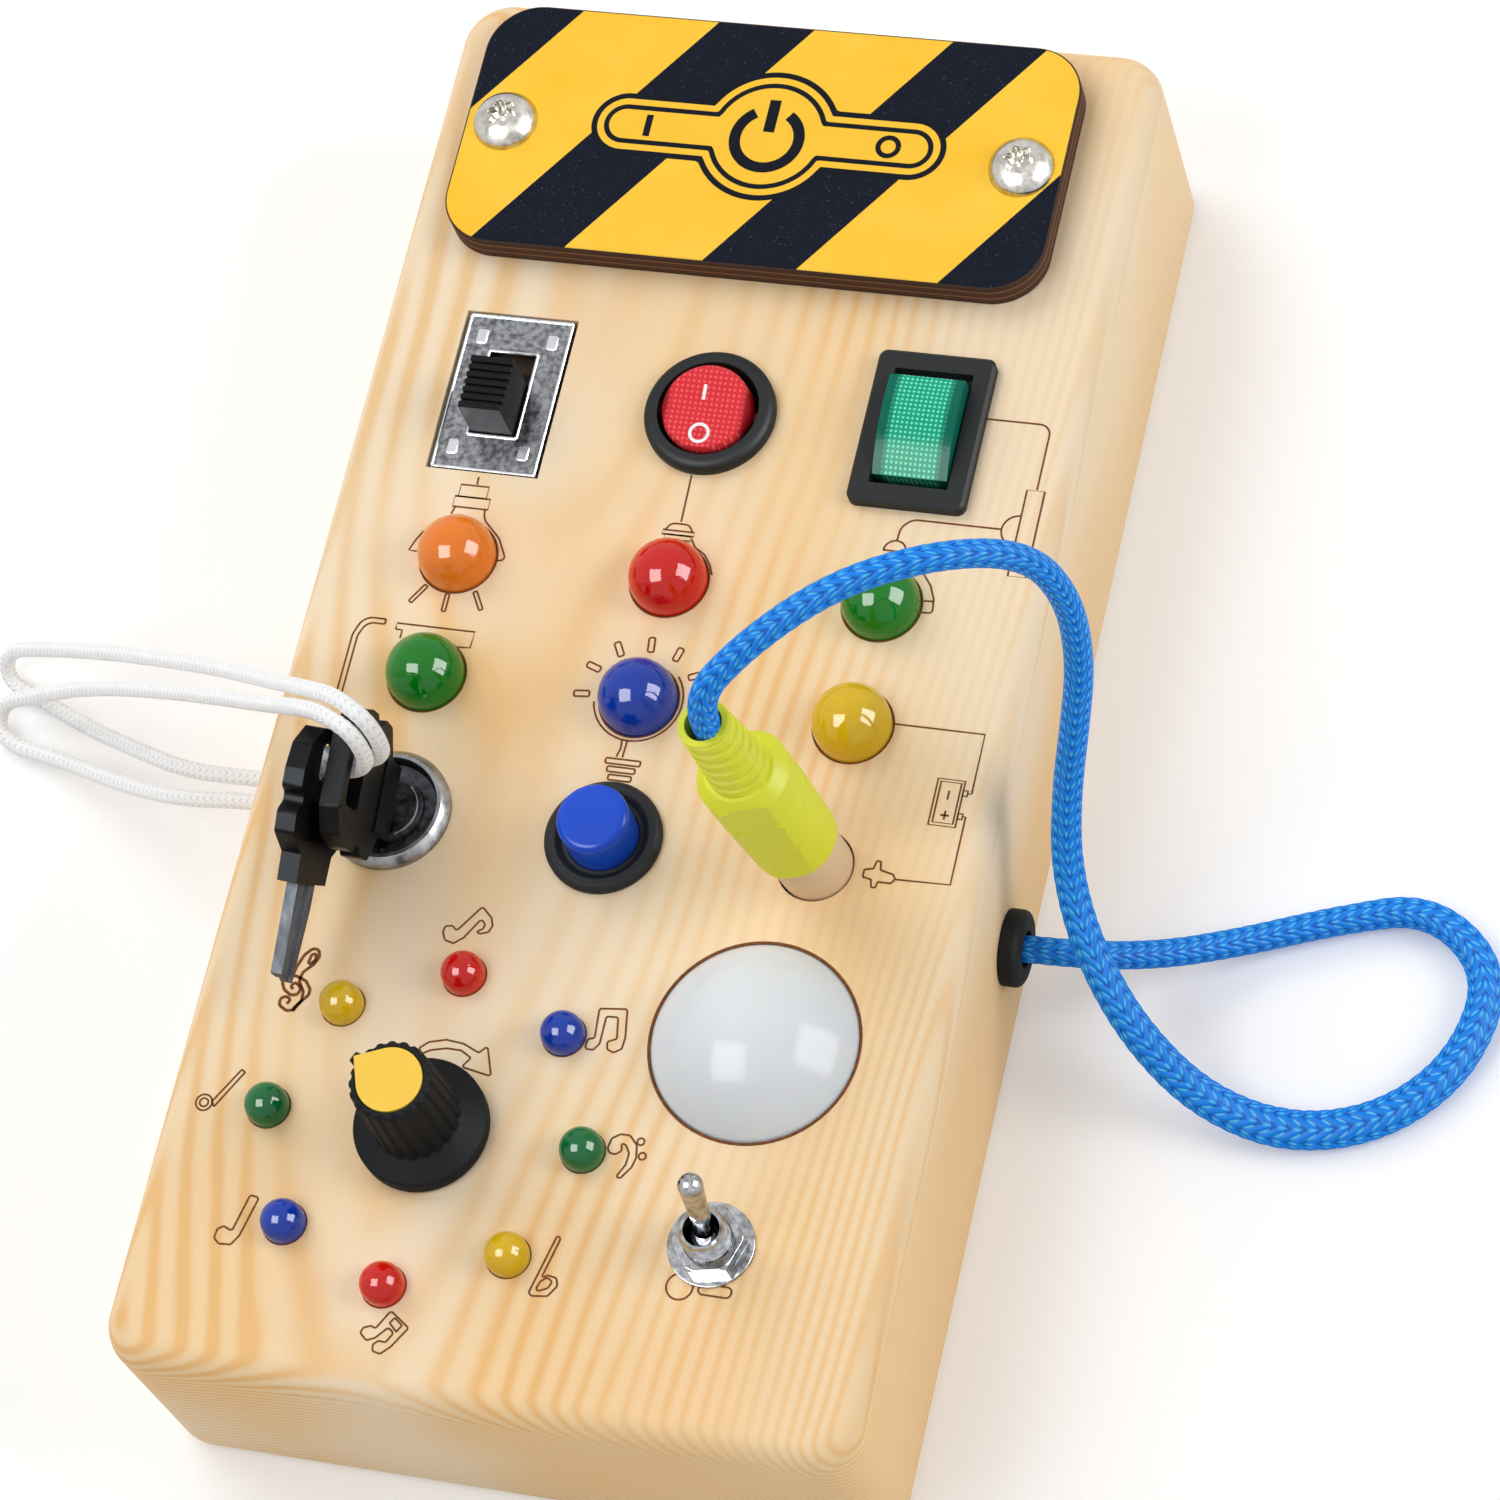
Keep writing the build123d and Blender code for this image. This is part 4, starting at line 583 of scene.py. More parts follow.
def pine(name, pale, streak, roughness=0.6):
    """Sanded pine: layers q = 0.0052 (x + 17)^2 + 0.85 z - 0.028 y + noise. The sine of q gives
    early and late wood, paler towards +x, and fine fibres run along y."""
    material, tree, bsdf = shader(name, pale, roughness, Specular_IOR_Level=0.05)
    place = add(tree, "TexCoord").outputs["Object"]
    place = add(tree, "VectorMath", {0: place, 3: 1000.0}, operation="SCALE")
    x, y, z = add(tree, "SeparateXYZ", {0: place}).outputs
    off_centre = add(tree, "Math", {0: x, 1: 17.0}, operation="ADD")
    curve = add(tree, "Math", {0: off_centre, 1: off_centre}, operation="MULTIPLY")
    layers = add(tree, "Math", {0: curve, 1: 0.0052}, operation="MULTIPLY")
    for value, share in ((z, layers_per_mm), (y, -0.028), (grit(tree, 55.0, (1, 2.2, 1), detail=1.0), 6.5),
                         (grit(tree, 7.0, (1, 6, 1), detail=2.0), 0.55)):
        layers = add(tree, "Math", {0: value, 1: share, 2: layers}, operation="MULTIPLY_ADD")
    wave = add(tree, "Math", {0: layers, 1: 2 * math.pi}, operation="MULTIPLY")
    wave = add(tree, "Math", {0: wave}, operation="SINE")
    wave = add(tree, "Math", {0: wave, 1: 0.5, 2: 0.5}, operation="MULTIPLY_ADD")
    late = add(tree, "Math", {0: wave, 1: 1.6}, operation="POWER")
    strength = add(tree, "MapRange", {0: grit(tree, 26.0, (1, 2.2, 1), detail=1.0), 1: 0.4, 2: 0.62,
                                      3: 0.35, 4: 0.95})
    fading = add(tree, "MapRange", {0: x, 1: -10.0, 2: 40.0, 3: 1.0, 4: 0.6})
    for share in (strength, fading):
        late = add(tree, "Math", {0: late, 1: share}, operation="MULTIPLY")
    fibre = grit(tree, 0.45, (1, 45, 1), detail=3.0)
    late = add(tree, "Math", {0: late, 1: 0.08}, operation="SUBTRACT")
    late = add(tree, "Math", {0: fibre, 1: 0.16, 2: late}, operation="MULTIPLY_ADD")
    colour = add(tree, "ValToRGB", {0: late}, stops=[(0.0, pale), (0.75, streak)])
    patches = add(tree, "MapRange", {0: grit(tree, 38.0, (1, 2.2, 1), detail=1.0), 1: 0.38, 2: 0.62})
    warm = add(tree, "Mix", {0: patches, 6: colour, 7: linear("#FFF0D6")}, data_type="RGBA",
               blend_type="MULTIPLY")
    grain = add(tree, "Math", {0: late, 1: 0.6, 2: fibre}, operation="MULTIPLY_ADD")
    raised = add(tree, "Bump", {"Height": grain, "Distance": 0.02 * mm, "Strength": 0.7})
    feed(tree, bsdf, {"Base Color": warm.outputs[2], "Normal": raised})
    return material


print("pine layers are", round(1 / layers_per_mm, 2), "mm apart down the block")

# %% Burnt wood, body and back
def scorched(name, colour, edge_mm=0.6):
    """Wood that a laser burnt: dark brown char, matt, with fine soot."""
    material, tree, bsdf = shader(name, colour, 0.85)
    soot = grit(tree, edge_mm, detail=3.0)
    shade = add(tree, "ValToRGB", {0: soot}, stops=[(0.3, colour), (0.75, shaded(colour, 1.5))])
    crust = add(tree, "Bump", {"Height": soot, "Distance": 0.02 * mm})
    feed(tree, bsdf, {"Base Color": shade, "Normal": crust})
    return material


sanded_pine = pine("sanded pine", "#F5E0C1", "#EFCA98")
plywood = pine("birch plywood back", "#E6CDA4", "#D9B582", 0.6)
char = scorched("burnt pine", "#5E3414")
body = smoothed("housing", "board", sanded_pine, crease=34)
smoothed("back_panel", "board", plywood, crease=34, bevel=0.2)
print("body faces", len(body.data.polygons))

# %% [markdown]
# ### Burnt and shaded rims, engraved signs
# A laser cut the holes and drew the signs, so every sign is a thin dark line, and every hole has
# a dark rim that is partly the brown burn and partly painted shade at the hole's edge. Each line is a
# flat ribbon that follows a list of points on the face; its half width is laid off at right angles to the
# direction.

# %% Rims and ribbons
burn_depth, char_thick, sunk = 0.6, 0.02, 0.05


def rim(centre, inner, width, name, lift=0.03):
    """A flat dark ring round a hole, a hair above the face, that turns down into the hole. It is partly the
    laser's burn and partly painted shade at the hole's edge.
    """
    high, low, under = face + lift, face - burn_depth, face - sunk
    outer, skin = inner + width, inner + char_thick
    line = [(inner, low), (inner, high), (outer, high), (outer, under), (skin, under), (skin, low),
            (inner, low)]
    return surface(name, "board", [turned(line, centre)], char, crease=30)


def ribbon(points, width, lift=0.035, closed=False, radius=0.0):
    """A flat strip along a line: each point moves by half the width along its normal."""
    line = np.asarray(points, float)
    if radius:
        line = rounded_line(line, radius, 8, closed)
    elif closed:
        line = np.vstack([line, line[:1]])
    tangent = np.gradient(line, axis=0)
    if closed:
        tangent[0] = tangent[-1] = line[1] - line[-2]
    normal = np.stack([-tangent[:, 1], tangent[:, 0]], -1)
    normal /= np.linalg.norm(normal, axis=1)[:, None]
    sides = [line + normal * width / 2, line - normal * width / 2]
    top = np.stack([np.c_[s, np.full(len(line), face + lift)] for s in sides])
    low = top - (0, 0, lift + 0.02)
    return np.stack([low[0], top[0], top[1], low[1], low[0]])


def arc(centre, radius, start, end, steps=24):
    """Points of a circle's arc between two angles in degrees."""
    angle = np.radians(np.linspace(start, end, steps + 1))
    return np.stack([centre[0] + radius * np.cos(angle), centre[1] + radius * np.sin(angle)], -1)


thin = 0.24


def stroke(points, radius=0.0):
    """A thin line, its corners rounded by the radius."""
    return ribbon(points, thin, radius=radius)


def outline(points, radius=0.35):
    """A closed thin line round a small sign, its corners a little rounded."""
    return ribbon(points, thin, closed=True, radius=radius)


def box_line(x0, y0, x1, y1, radius=0.0):
    """A closed thin line round an upright box."""
    return outline([(x0, y0), (x1, y0), (x1, y1), (x0, y1)], radius)


def ring_line(centre, radius):
    """A thin circle."""
    return stroke(arc(centre, radius, 0, 360, 28))


def capsule(start, end, half):
    """A closed thin line round a short bar with rounded ends."""
    start, end = np.asarray(start, float), np.asarray(end, float)
    ahead = (end - start) / np.linalg.norm(end - start)
    across = np.array([-ahead[1], ahead[0]]) * half
    return outline([start + across, end + across, end - across, start - across], half * 0.6)


print("a thin line is", thin, "mm wide")

# %% Signs of the upper half
signs = {
    "pendant_lamp": [
        stroke([(-28.85, 25.9), (-28.8, 24.8)]),
        box_line(-30.9, 22.9, -27.1, 24.6),
        box_line(-31.3, 21.4, -26.5, 22.9),
        stroke([(-30.9, 21.4), (-31.2, 20.3)]),
        stroke([(-26.9, 21.4), (-26.65, 20.0), (-24.0, 17.6), (-22.4, 14.7), (-23.7, 14.4)], 3.0),
        stroke([(-34.2, 17.5), (-35.0, 16.0), (-35.5, 14.6), (-34.4, 14.5)]),
        *[capsule(a, b, 0.26) for a, b in (((-31.9, 9.9), (-33.5, 7.4)), ((-28.8, 9.1), (-28.8, 6.6)),
                                           ((-25.3, 9.8), (-23.9, 7.4)))]],
    "bulb_lamp": [
        stroke([(-0.97, 29.4), (-0.8, 22.7)]),
        stroke([(-2.6, 21.4), (-2.0, 22.4), (0.4, 22.4), (1.0, 21.4)], 1.2),
        box_line(-2.9, 20.8, 1.3, 21.4),
        box_line(-2.5, 20.1, 1.0, 20.8),
        stroke([(1.1, 20.5), (1.8, 19.4), (3.3, 18.5), (4.3, 17.2), (4.9, 15.8)], 0.8)],
    "lamp_shade": [
        stroke([(-34.4, 3.4), (-34.4, 4.25), (-23.9, 4.25), (-24.0, 2.0), (-25.6, 1.9)]),
        stroke([(-34.4, 3.4), (-33.5, 3.35), (-33.5, 2.2)])],
    "pipe": [
        stroke([(-36.0, 4.6), (-39.0, 4.6), (-39.9, 2.0), (-39.9, -6.3)], 2.6),
        stroke([(-36.0, 3.9), (-38.4, 3.9), (-39.2, 1.9), (-39.2, -6.3)], 1.9),
        stroke([(-36.0, 4.6), (-36.0, 3.9)])],
    "glow_bulb": [
        stroke(arc((-0.5, -2.3), 5.75, -170, 40)),
        stroke([(-1.3, -8.0), (-1.2, -9.2), (-1.5, -10.4)]),
        stroke([(-0.6, -8.0), (-0.7, -10.4)]),
        *[capsule((x0, y), (x1, y), 0.36)
          for x0, x1, y in ((-2.75, 1.8, -11.0), (-2.3, 1.35, -12.1), (-1.9, 1.1, -13.2))],
        *[capsule(a, b, 0.4) for a, b in (((-9.0, -2.5), (-7.0, -2.3)), ((-8.2, 1.7), (-6.4, 1.1)),
                                          ((-5.1, 5.1), (-4.1, 3.3)), ((-0.7, 6.3), (-0.5, 4.3)),
                                          ((3.4, 5.3), (2.9, 3.5)), ((5.2, 1.4), (6.9, 2.1)))]],
    "right_circuit": [
        stroke([(35.4, 41.6), (42.9, 41.6), (43.75, 40.7), (43.75, 32.4)], 1.4),
        box_line(42.5, 20.2, 44.8, 32.3),
        stroke(arc((42.5, 26.5), 2.1, 90, 270)),
        stroke([(40.4, 26.5), (28.9, 26.5), (27.6, 25.3), (27.5, 23.4)], 1.8),
        stroke(arc((27.5, 21.9), 1.45, 0, 180)),
        stroke([(26.0, 21.9), (29.0, 21.9)]),
        stroke([(31.8, 19.3), (33.1, 17.7), (33.9, 15.9), (34.1, 14.0), (32.3, 13.9), (32.1, 15.5),
                (33.9, 15.6)], 0.4)],
    "battery_sign": [
        stroke([(32.4, -1.5), (44.2, -1.5), (44.2, -9.6), (43.7, -9.6)]),
        box_line(39.65, -14.25, 43.1, -8.0),
        box_line(40.1, -13.85, 42.7, -8.35),
        stroke([(41.35, -9.5), (41.35, -10.7)]),
        stroke([(40.9, -12.8), (42.0, -12.8)]),
        stroke([(41.45, -12.2), (41.45, -13.4)]),
        *[box_line(43.1, y, 43.7, y + 0.75) for y in (-10.0, -13.1)],
        stroke([(43.7, -12.7), (44.1, -12.7), (44.1, -21.8), (37.2, -22.0)]),
        outline([(33.1, -21.2), (34.2, -20.95), (34.4, -19.9), (34.95, -19.9), (35.1, -21.0),
                 (36.8, -21.4), (37.2, -22.0), (36.7, -22.6), (35.1, -22.6), (34.95, -23.4),
                 (34.4, -23.4), (34.2, -22.4), (33.1, -22.2)], 0.15)],
    "toggle_sign": [
        stroke(arc((22.57, -77.17), 1.65, 0, 360)),
        box_line(24.9, -77.75, 29.0, -76.4, 0.6)],
}
print("signs", len(signs))

# %% Signs of the lower half
signs["notes"] = [
    outline([(-17.8, -36.5), (-17.7, -35.7), (-16.8, -35.5), (-16.1, -36.1), (-13.6, -32.5), (-12.1, -33.8),
             (-11.7, -34.8), (-12.0, -35.7), (-13.0, -36.1), (-13.6, -35.9), (-12.8, -35.4), (-12.7, -34.8),
             (-13.3, -34.1), (-15.0, -36.9), (-16.1, -37.8), (-17.3, -37.5)]),
    outline([(-41.4, -62.5), (-38.7, -57.9), (-38.2, -58.2), (-41.0, -63.2)], 0.1),
    ring_line((-42.4, -62.8), 1.05), ring_line((-42.4, -62.8), 0.55),
    outline([(-36.4, -79.8), (-36.3, -78.6), (-35.6, -78.1), (-34.4, -78.6), (-33.3, -73.7), (-32.1, -73.9),
             (-33.3, -79.0), (-34.1, -80.3), (-35.6, -80.4)]),
    outline([(-15.0, -88.8), (-14.8, -88.1), (-13.9, -87.7), (-13.3, -88.0), (-11.9, -85.5), (-9.2, -87.3),
             (-10.8, -89.9), (-11.9, -91.0), (-12.9, -90.8), (-13.1, -90.0), (-12.5, -89.4), (-11.6, -89.5),
             (-10.9, -88.2), (-11.7, -87.6), (-13.0, -89.1), (-14.0, -89.6)]),
    outline([(-11.7, -87.0), (-11.2, -86.3), (-10.1, -87.1), (-10.6, -88.0)], 0.1),
    outline([(6.2, -73.1), (6.7, -73.4), (5.5, -78.7), (6.2, -78.2), (7.4, -78.4), (7.7, -79.4), (6.8, -80.8),
             (4.3, -81.1)], 0.5),
    outline([(5.5, -79.1), (6.2, -78.5), (7.0, -78.9), (6.6, -79.8), (5.0, -80.6)]),
    outline([(3.8, -48.8), (3.9, -47.8), (4.7, -47.6), (4.4, -43.7), (7.9, -43.3), (8.5, -47.0), (8.4, -48.5),
             (7.5, -49.1), (6.6, -48.8), (6.4, -47.8), (7.5, -47.3), (7.0, -44.5), (5.5, -44.6), (5.5, -48.2),
             (4.9, -49.1), (4.0, -49.1)]),
    outline([(9.7, -61.3), (9.9, -60.0), (10.9, -59.3), (12.1, -59.3), (13.2, -60.4), (13.5, -62.0),
             (13.2, -63.3), (12.1, -64.9), (11.6, -64.7), (12.4, -63.1), (12.5, -61.6), (11.8, -60.5),
             (11.2, -60.5), (11.6, -61.3), (10.9, -61.9), (10.1, -61.9)], 0.6),
    ring_line((13.6, -59.9), 0.45), ring_line((14.2, -61.7), 0.45),
    ribbon([(-34.0, -49.2), (-35.1, -49.5), (-36.2, -48.9), (-36.3, -48.0), (-35.6, -47.6), (-34.9, -48.0),
            (-35.3, -48.6)], 0.4, radius=0.6),
    ribbon([(-34.3, -49.1), (-33.7, -48.2), (-32.8, -47.1), (-32.8, -46.3), (-33.6, -45.3), (-35.0, -44.8),
            (-36.0, -44.9), (-36.7, -45.7), (-36.1, -46.8), (-35.1, -47.4), (-34.2, -47.2), (-34.0, -46.3),
            (-34.9, -45.6), (-35.4, -46.2), (-35.0, -46.6)], 0.4, radius=0.6),
    ribbon([(-35.6, -45.5), (-35.3, -43.6), (-34.7, -41.9), (-33.8, -40.9), (-33.0, -41.0), (-32.7, -41.9),
            (-33.2, -43.0), (-34.3, -44.2), (-34.5, -45.4), (-33.6, -46.7), (-33.5, -48.0), (-34.3, -49.4)],
           0.4, radius=0.8),
    ribbon([(-34.0, -43.4), (-33.8, -41.8), (-33.2, -41.5), (-33.1, -42.4)], 0.4, closed=True, radius=0.4)]
signs["dial_arrow"] = [
    outline([(-17.0, -52.0), (-15.9, -51.0), (-13.8, -50.4), (-11.5, -50.6), (-9.3, -51.5), (-8.4, -50.5),
             (-7.0, -54.3), (-11.0, -53.6), (-10.1, -52.3), (-11.6, -51.5), (-13.5, -51.5), (-15.4, -52.0),
             (-16.4, -52.6)], 0.25)]
for title, lines in signs.items():
    surface("engraved_" + title, "board", lines, char, crease=60)

print("signs engraved", len(signs))

# %% [markdown]
# ## The striped plaque
# The plaque is a piece of thin plywood: yellow and black ink printed on its top, then
# cut out by a laser, which leaves a dark edge where the plies show as lines. The wood
# is one piece and the print is a thin sheet on it, so each has a finish of its own.
# The stripes are one ramp across the slanted distance t = 0.806 x - 0.592 y.

# %% Printed and charred plywood
stripe_reach = 0.09           # metres from the ramp's middle to its end
plaque_thick = 4.1


def stripe_print(name):
    """Matt ink on wood: two colours by the slanted distance, with fine white specks in the black."""
    material, tree, bsdf = shader(name, "#FFC93F", 0.75, Specular_IOR_Level=0.05)
    place = add(tree, "TexCoord").outputs["Object"]
    along = add(tree, "VectorMath", {0: place, 1: (0.806 / stripe_reach, -0.592 / stripe_reach, 0.0)},
                operation="DOT_PRODUCT")
    share = add(tree, "Math", {0: along.outputs["Value"], 1: 1.0}, operation="ADD")
    shown = [(position, ("#000000", "#FFFFFF")[i % 2])
             for i, position in enumerate((0.0, 0.1167, 0.2839, 0.4011, 0.5678, 0.6833, 0.85))]
    ink = add(tree, "ValToRGB", {0: share}, stops=shown)
    ink.color_ramp.interpolation = "CONSTANT"
    yellow = add(tree, "ValToRGB", {0: grit(tree, 9.0, detail=2.0)},
                 stops=[(0.3, "#FFC63A"), (0.7, "#FFCD48")])
    black = add(tree, "ValToRGB", {0: grit(tree, 0.35, detail=1.0)},
                stops=[(0.66, "#151A27"), (0.78, "#3A4152")])
    mix = add(tree, "Mix", {0: ink, 6: black, 7: yellow}, data_type="RGBA")
    grain = add(tree, "Bump", {"Height": grit(tree, 0.6, (1, 5, 1)), "Distance": 0.006 * mm})
    feed(tree, bsdf, {"Base Color": mix.outputs[2], "Normal": grain})
    return material


def ply_edge(name):
    """Laser cut plywood edge: charred veneers with thin lighter lines between them, by height."""
    material, tree, bsdf = shader(name, "#5B3B27", 0.8)
    place = add(tree, "TexCoord").outputs["Object"]
    height = add(tree, "SeparateXYZ", {0: place}).outputs[2]
    layer = add(tree, "MapRange", {0: height, 1: face * mm, 2: (face + plaque_thick) * mm})
    veneers = [(0.0, "#3F2817"), (0.3, "#54331F"), (0.36, "#8A6243"), (0.42, "#4A2D1B"), (0.66, "#55351F"),
               (0.72, "#8A6243"), (0.78, "#452A1A"), (1.0, "#3A2415")]
    plies = add(tree, "ValToRGB", {0: layer}, stops=veneers)
    mix = add(tree, "Mix", {0: grit(tree, 1.0, (1, 1, 0.3)), 6: plies, 7: (0.8, 0.78, 0.76, 1)},
              data_type="RGBA", blend_type="MULTIPLY")
    cut = add(tree, "Bump", {"Height": grit(tree, 0.5, (1, 1, 4)), "Distance": 0.03 * mm})
    feed(tree, bsdf, {"Base Color": mix.outputs[2], "Normal": cut})
    return material


printed_ply = stripe_print("printed birch plywood")
charred_ply = ply_edge("charred plywood edge")
print("plywood", plaque_thick, "mm thick")

# %% Plaque
plaque_centre = (-1.6, 75.7)
plaque_line = box_loop(81.0, 35.8, 7.0, 12, plaque_centre)
top = face + plaque_thick
wood_steps = [(0.15, face), (0, face + 0.15), (0, top - 0.2), (0.12, top - 0.08)]
surface("plaque_board", "board", [plate(plaque_line, wood_steps)], charred_ply, ("plaque",))
surface("plaque_print", "board", [plate(plaque_line, [(0.35, top - 0.3), (0.2, top - 0.1), (0.28, top)])],
        printed_ply, crease=50)
print("plaque top", top)

# %% Sign on the plaque
badge_x, badge_y = -0.9, 77.0


def badge_sheet(inset, level):
    """One layer of the sign in the middle: a disc on a long pill, both drawn in by the inset.
    Its half height at x is the larger of the disc's and the pill's."""
    disc, pill, reach = 9.6 - inset, 4.6 - inset, 24.0 - inset
    x = reach * np.cos(np.linspace(np.pi, 0, 161))
    over = np.clip(np.abs(x) - (reach - pill), 0, pill)
    half = np.maximum(np.sqrt(np.clip(pill ** 2 - over ** 2, 0, None)),
                      np.sqrt(np.clip(disc ** 2 - x ** 2, 0, None)))
    high, low = top + level, top - 0.05
    rows = [np.c_[x, sign * half, np.full(len(x), height)]
            for sign, height in ((1, low), (1, high), (-1, high), (-1, low))]
    return moved(np.stack(rows + rows[:1]), shift=(badge_x, badge_y, 0))


# Ink dries matt on wood, so the print has almost no gloss.
ink_black = moulded("printed black ink", "#171A24", 0.75, tint=0.15, Specular_IOR_Level=0.05)
ink_yellow = moulded("printed yellow ink", "#FFC93F", 0.75, tint=0.03, Specular_IOR_Level=0.05)
for part, inset, level, ink in (("outline", 0, 0.01, ink_black), ("band", 0.8, 0.02, ink_yellow),
                                ("line", 1.7, 0.03, ink_black), ("field", 2.4, 0.04, ink_yellow)):
    surface("badge_" + part, "board", [badge_sheet(inset, level)], ink, crease=60)


def raised_ribbon(points, width, level, **more):
    """A ribbon on the plaque instead of on the face."""
    grid = ribbon(points, width, 0.05, **more)
    return moved(grid, shift=(0, 0, level - face - 0.04))


mark_level = top + 0.05
mark = [raised_ribbon(arc((badge_x, 76.6), 4.3, 122, 418, 40), 1.5, mark_level),
        raised_ribbon([(badge_x, 77.6), (badge_x, 82.4)], 1.5, mark_level),
        raised_ribbon(arc((15.4, badge_y), 1.35, 0, 360, 30), 0.7, mark_level),
        raised_ribbon([(-17.2, 75.4), (-17.2, 78.6)], 0.9, mark_level)]
surface("badge_marks", "board", mark, ink_black, crease=60)
print("sign marks", len(mark))

# %% [markdown]
# ### Pan head screws
# Two screws hold the plaque. A head is a height map on a polar grid: a low dome, less
# a six lobed recess whose edge is r = 1.75 + 0.36 cos (6a + 0.5).

# %% Plaque screws
def screw_head(centre, base, radius=4.35, height=2.5, recess=1.35, slope=0.22, shank=1.5):
    """Dome z = h (1 - (r / R)^2.6)^0.62 with the recess cut in. Its walls slope over a fifth of a
    millimetre, its floor has a small cone, and a flat underside and a shank close the piece."""
    share = np.linspace(0, 1, 90)[:, None] ** 0.8
    angle = np.linspace(0, 2 * np.pi, 145)[None]
    r = radius * share
    z = height * np.clip(1 - share ** 2.6, 0, 1) ** 0.62 + 0 * angle
    lobe = 1.75 + 0.36 * np.cos(6 * angle + 0.5)
    cut = np.clip((lobe - r) / slope, 0, 1)
    z = z - cut * cut * (3 - 2 * cut) * recess + np.clip(0.5 - r, 0, 1) * 0.4 * cut
    top_grid = np.stack([centre[0] + r * np.cos(angle), centre[1] + r * np.sin(angle), base + z], -1)
    under = turned([(radius, base), (shank, base), (shank, base - 13.0), (0, base - 14.0)], centre, 144)
    return np.concatenate([top_grid, under.swapaxes(0, 1)])


surface("plaque_screw_heads", "board", [screw_head((x, plaque_centre[1]), top) for x in (-36.6, 33.4)],
        nickel, ("plaque_screws",), crease=50)
print("screws set")

# %% [markdown]
# ## Lamps
# A lamp is cast in one piece: a flange that stops it behind the wall, a barrel through
# the hole, and a half round top. Its profile is turned round the hole's axis. A thin
# dark ring on the wood shows where the hole was cut: partly its burn, partly painted shade at the hole's
# edge.

# %% Lamps
flange_thick = 1.0
large_lamp, small_lamp = 5.0, 2.5     # radii
hole_gap = 0.07                       # between a lamp and the burnt rim of its hole


def lamp_profile(radius, rise, flange, swell=0.0):
    """Radius and height from the underside over the flange and the barrel to the top of the dome."""
    low = wall_back - flange_thick
    a = np.radians(np.linspace(0, 90, 25))
    dome = np.c_[(radius + swell) * np.cos(a), face + rise + (radius + swell) * np.sin(a)]
    foot = [(0, low), (radius + flange, low), (radius + flange, wall_back), (radius, wall_back),
            (radius, face + 0.04)]
    return np.vstack([foot, [(radius + swell, face + 0.04)], dome])


lamp_holes = {"lamp_orange": ("orange", (-28.7, 14.4)), "lamp_red": ("red", (-0.4, 14.4)),
              "lamp_green_right": ("green", (27.5, 14.4)), "lamp_green_left": ("green", (-28.7, -2.4)),
              "lamp_blue": ("blue", (-0.4, -2.4)), "lamp_yellow": ("yellow", (27.5, -2.4))}
for name, (colour, centre) in lamp_holes.items():
    surface(name + "_lens", "board", [turned(lamp_profile(large_lamp, rise=1.0, flange=0.6), centre, 96)],
            epoxy[colour], (name,))
    rim(centre, large_lamp + hole_gap, 0.2, name + "_rim", 0.02)
print("large lamps", len(lamp_holes))

# %% Small lamps and all leads
knob_place = np.array([-13.6, -62.2])
ring_radius = 20.4
ring_angles = np.radians(45.0 * np.arange(8))
small_places = [knob_place + ring_radius * np.array([math.cos(a), math.sin(a)]) for a in ring_angles]
for i, colour in enumerate(["deep green", "blue", "red", "yellow"] * 2):
    name = "small_lamp_%d" % (i + 1)
    profile = lamp_profile(small_lamp, rise=1.0, flange=0.4, swell=0.24)
    surface(name + "_lens", "board", [turned(profile, small_places[i], 72)], epoxy[colour], (name,))
    rim(small_places[i], small_lamp + hole_gap, 0.3, name + "_rim", 0.02)
leg_side, leg_gap = 0.5, 1.27
leg_top = wall_back - flange_thick
legs = [plate(box_loop(leg_side, leg_side, 0.05, 1, (x + side * leg_gap, y)),
              [(0, leg_top - length), (0, leg_top)])
        for (x, y), length in [(c, 4.0) for _, c in lamp_holes.values()] + [(c, 2.0) for c in small_places]
        for side in (-1, 1)]
surface("lamp_leads", "board", legs, nickel)
print("small lamps", len(small_places), "leads", len(legs))

# %% Milky dome
# Milky acrylic is polished outside and has a fog inside that evens out the light.
milky = moulded("moulded acrylic milky", "#E6E5EA", 0.12, grain=3.0, depth=0.002, Specular_IOR_Level=0.12,
                Subsurface_Weight=0.4, Subsurface_Scale=0.004)
dome_place = (24.6, -45.4)
dome_outer, dome_inner, dome_rise, dome_flange = 12.9, 11.7, 7.3, 15.3
dome_wall = dome_outer - dome_inner
dome_low = wall_back - dome_wall


def cap_line(radius, height, base, steps=30, inside=False):
    """Radius and height along a spherical cap, from its rim to its top."""
    ball = (radius ** 2 + height ** 2) / 2 / height
    edge = math.asin(radius / ball)
    a = np.linspace(edge, 0, steps) if not inside else np.linspace(0, edge, steps)
    return np.c_[ball * np.sin(a), base + height - ball + ball * np.cos(a)]


dome_line = np.vstack([
    [(dome_inner, dome_low), (dome_flange, dome_low), (dome_flange, wall_back), (dome_outer, wall_back)],
    cap_line(dome_outer, dome_rise, face), cap_line(dome_inner, dome_rise - dome_wall, face, inside=True),
    [(dome_inner, dome_low)]])
surface("milky_dome", "board", [turned(dome_line, dome_place, 128)], milky, ("dome_cover",))
rim(dome_place, dome_outer + hole_gap, 0.35, "dome_rim", 0.03)
print("dome rises", dome_rise)

# %% [markdown]
# ## Switches
# The slide switch is a folded steel can with a ribbed slider. The two rockers are
# glass clear coloured plastic in a black bezel: light goes in, meets a pattern of
# small dots moulded on the inner side and comes back, so they look deep.

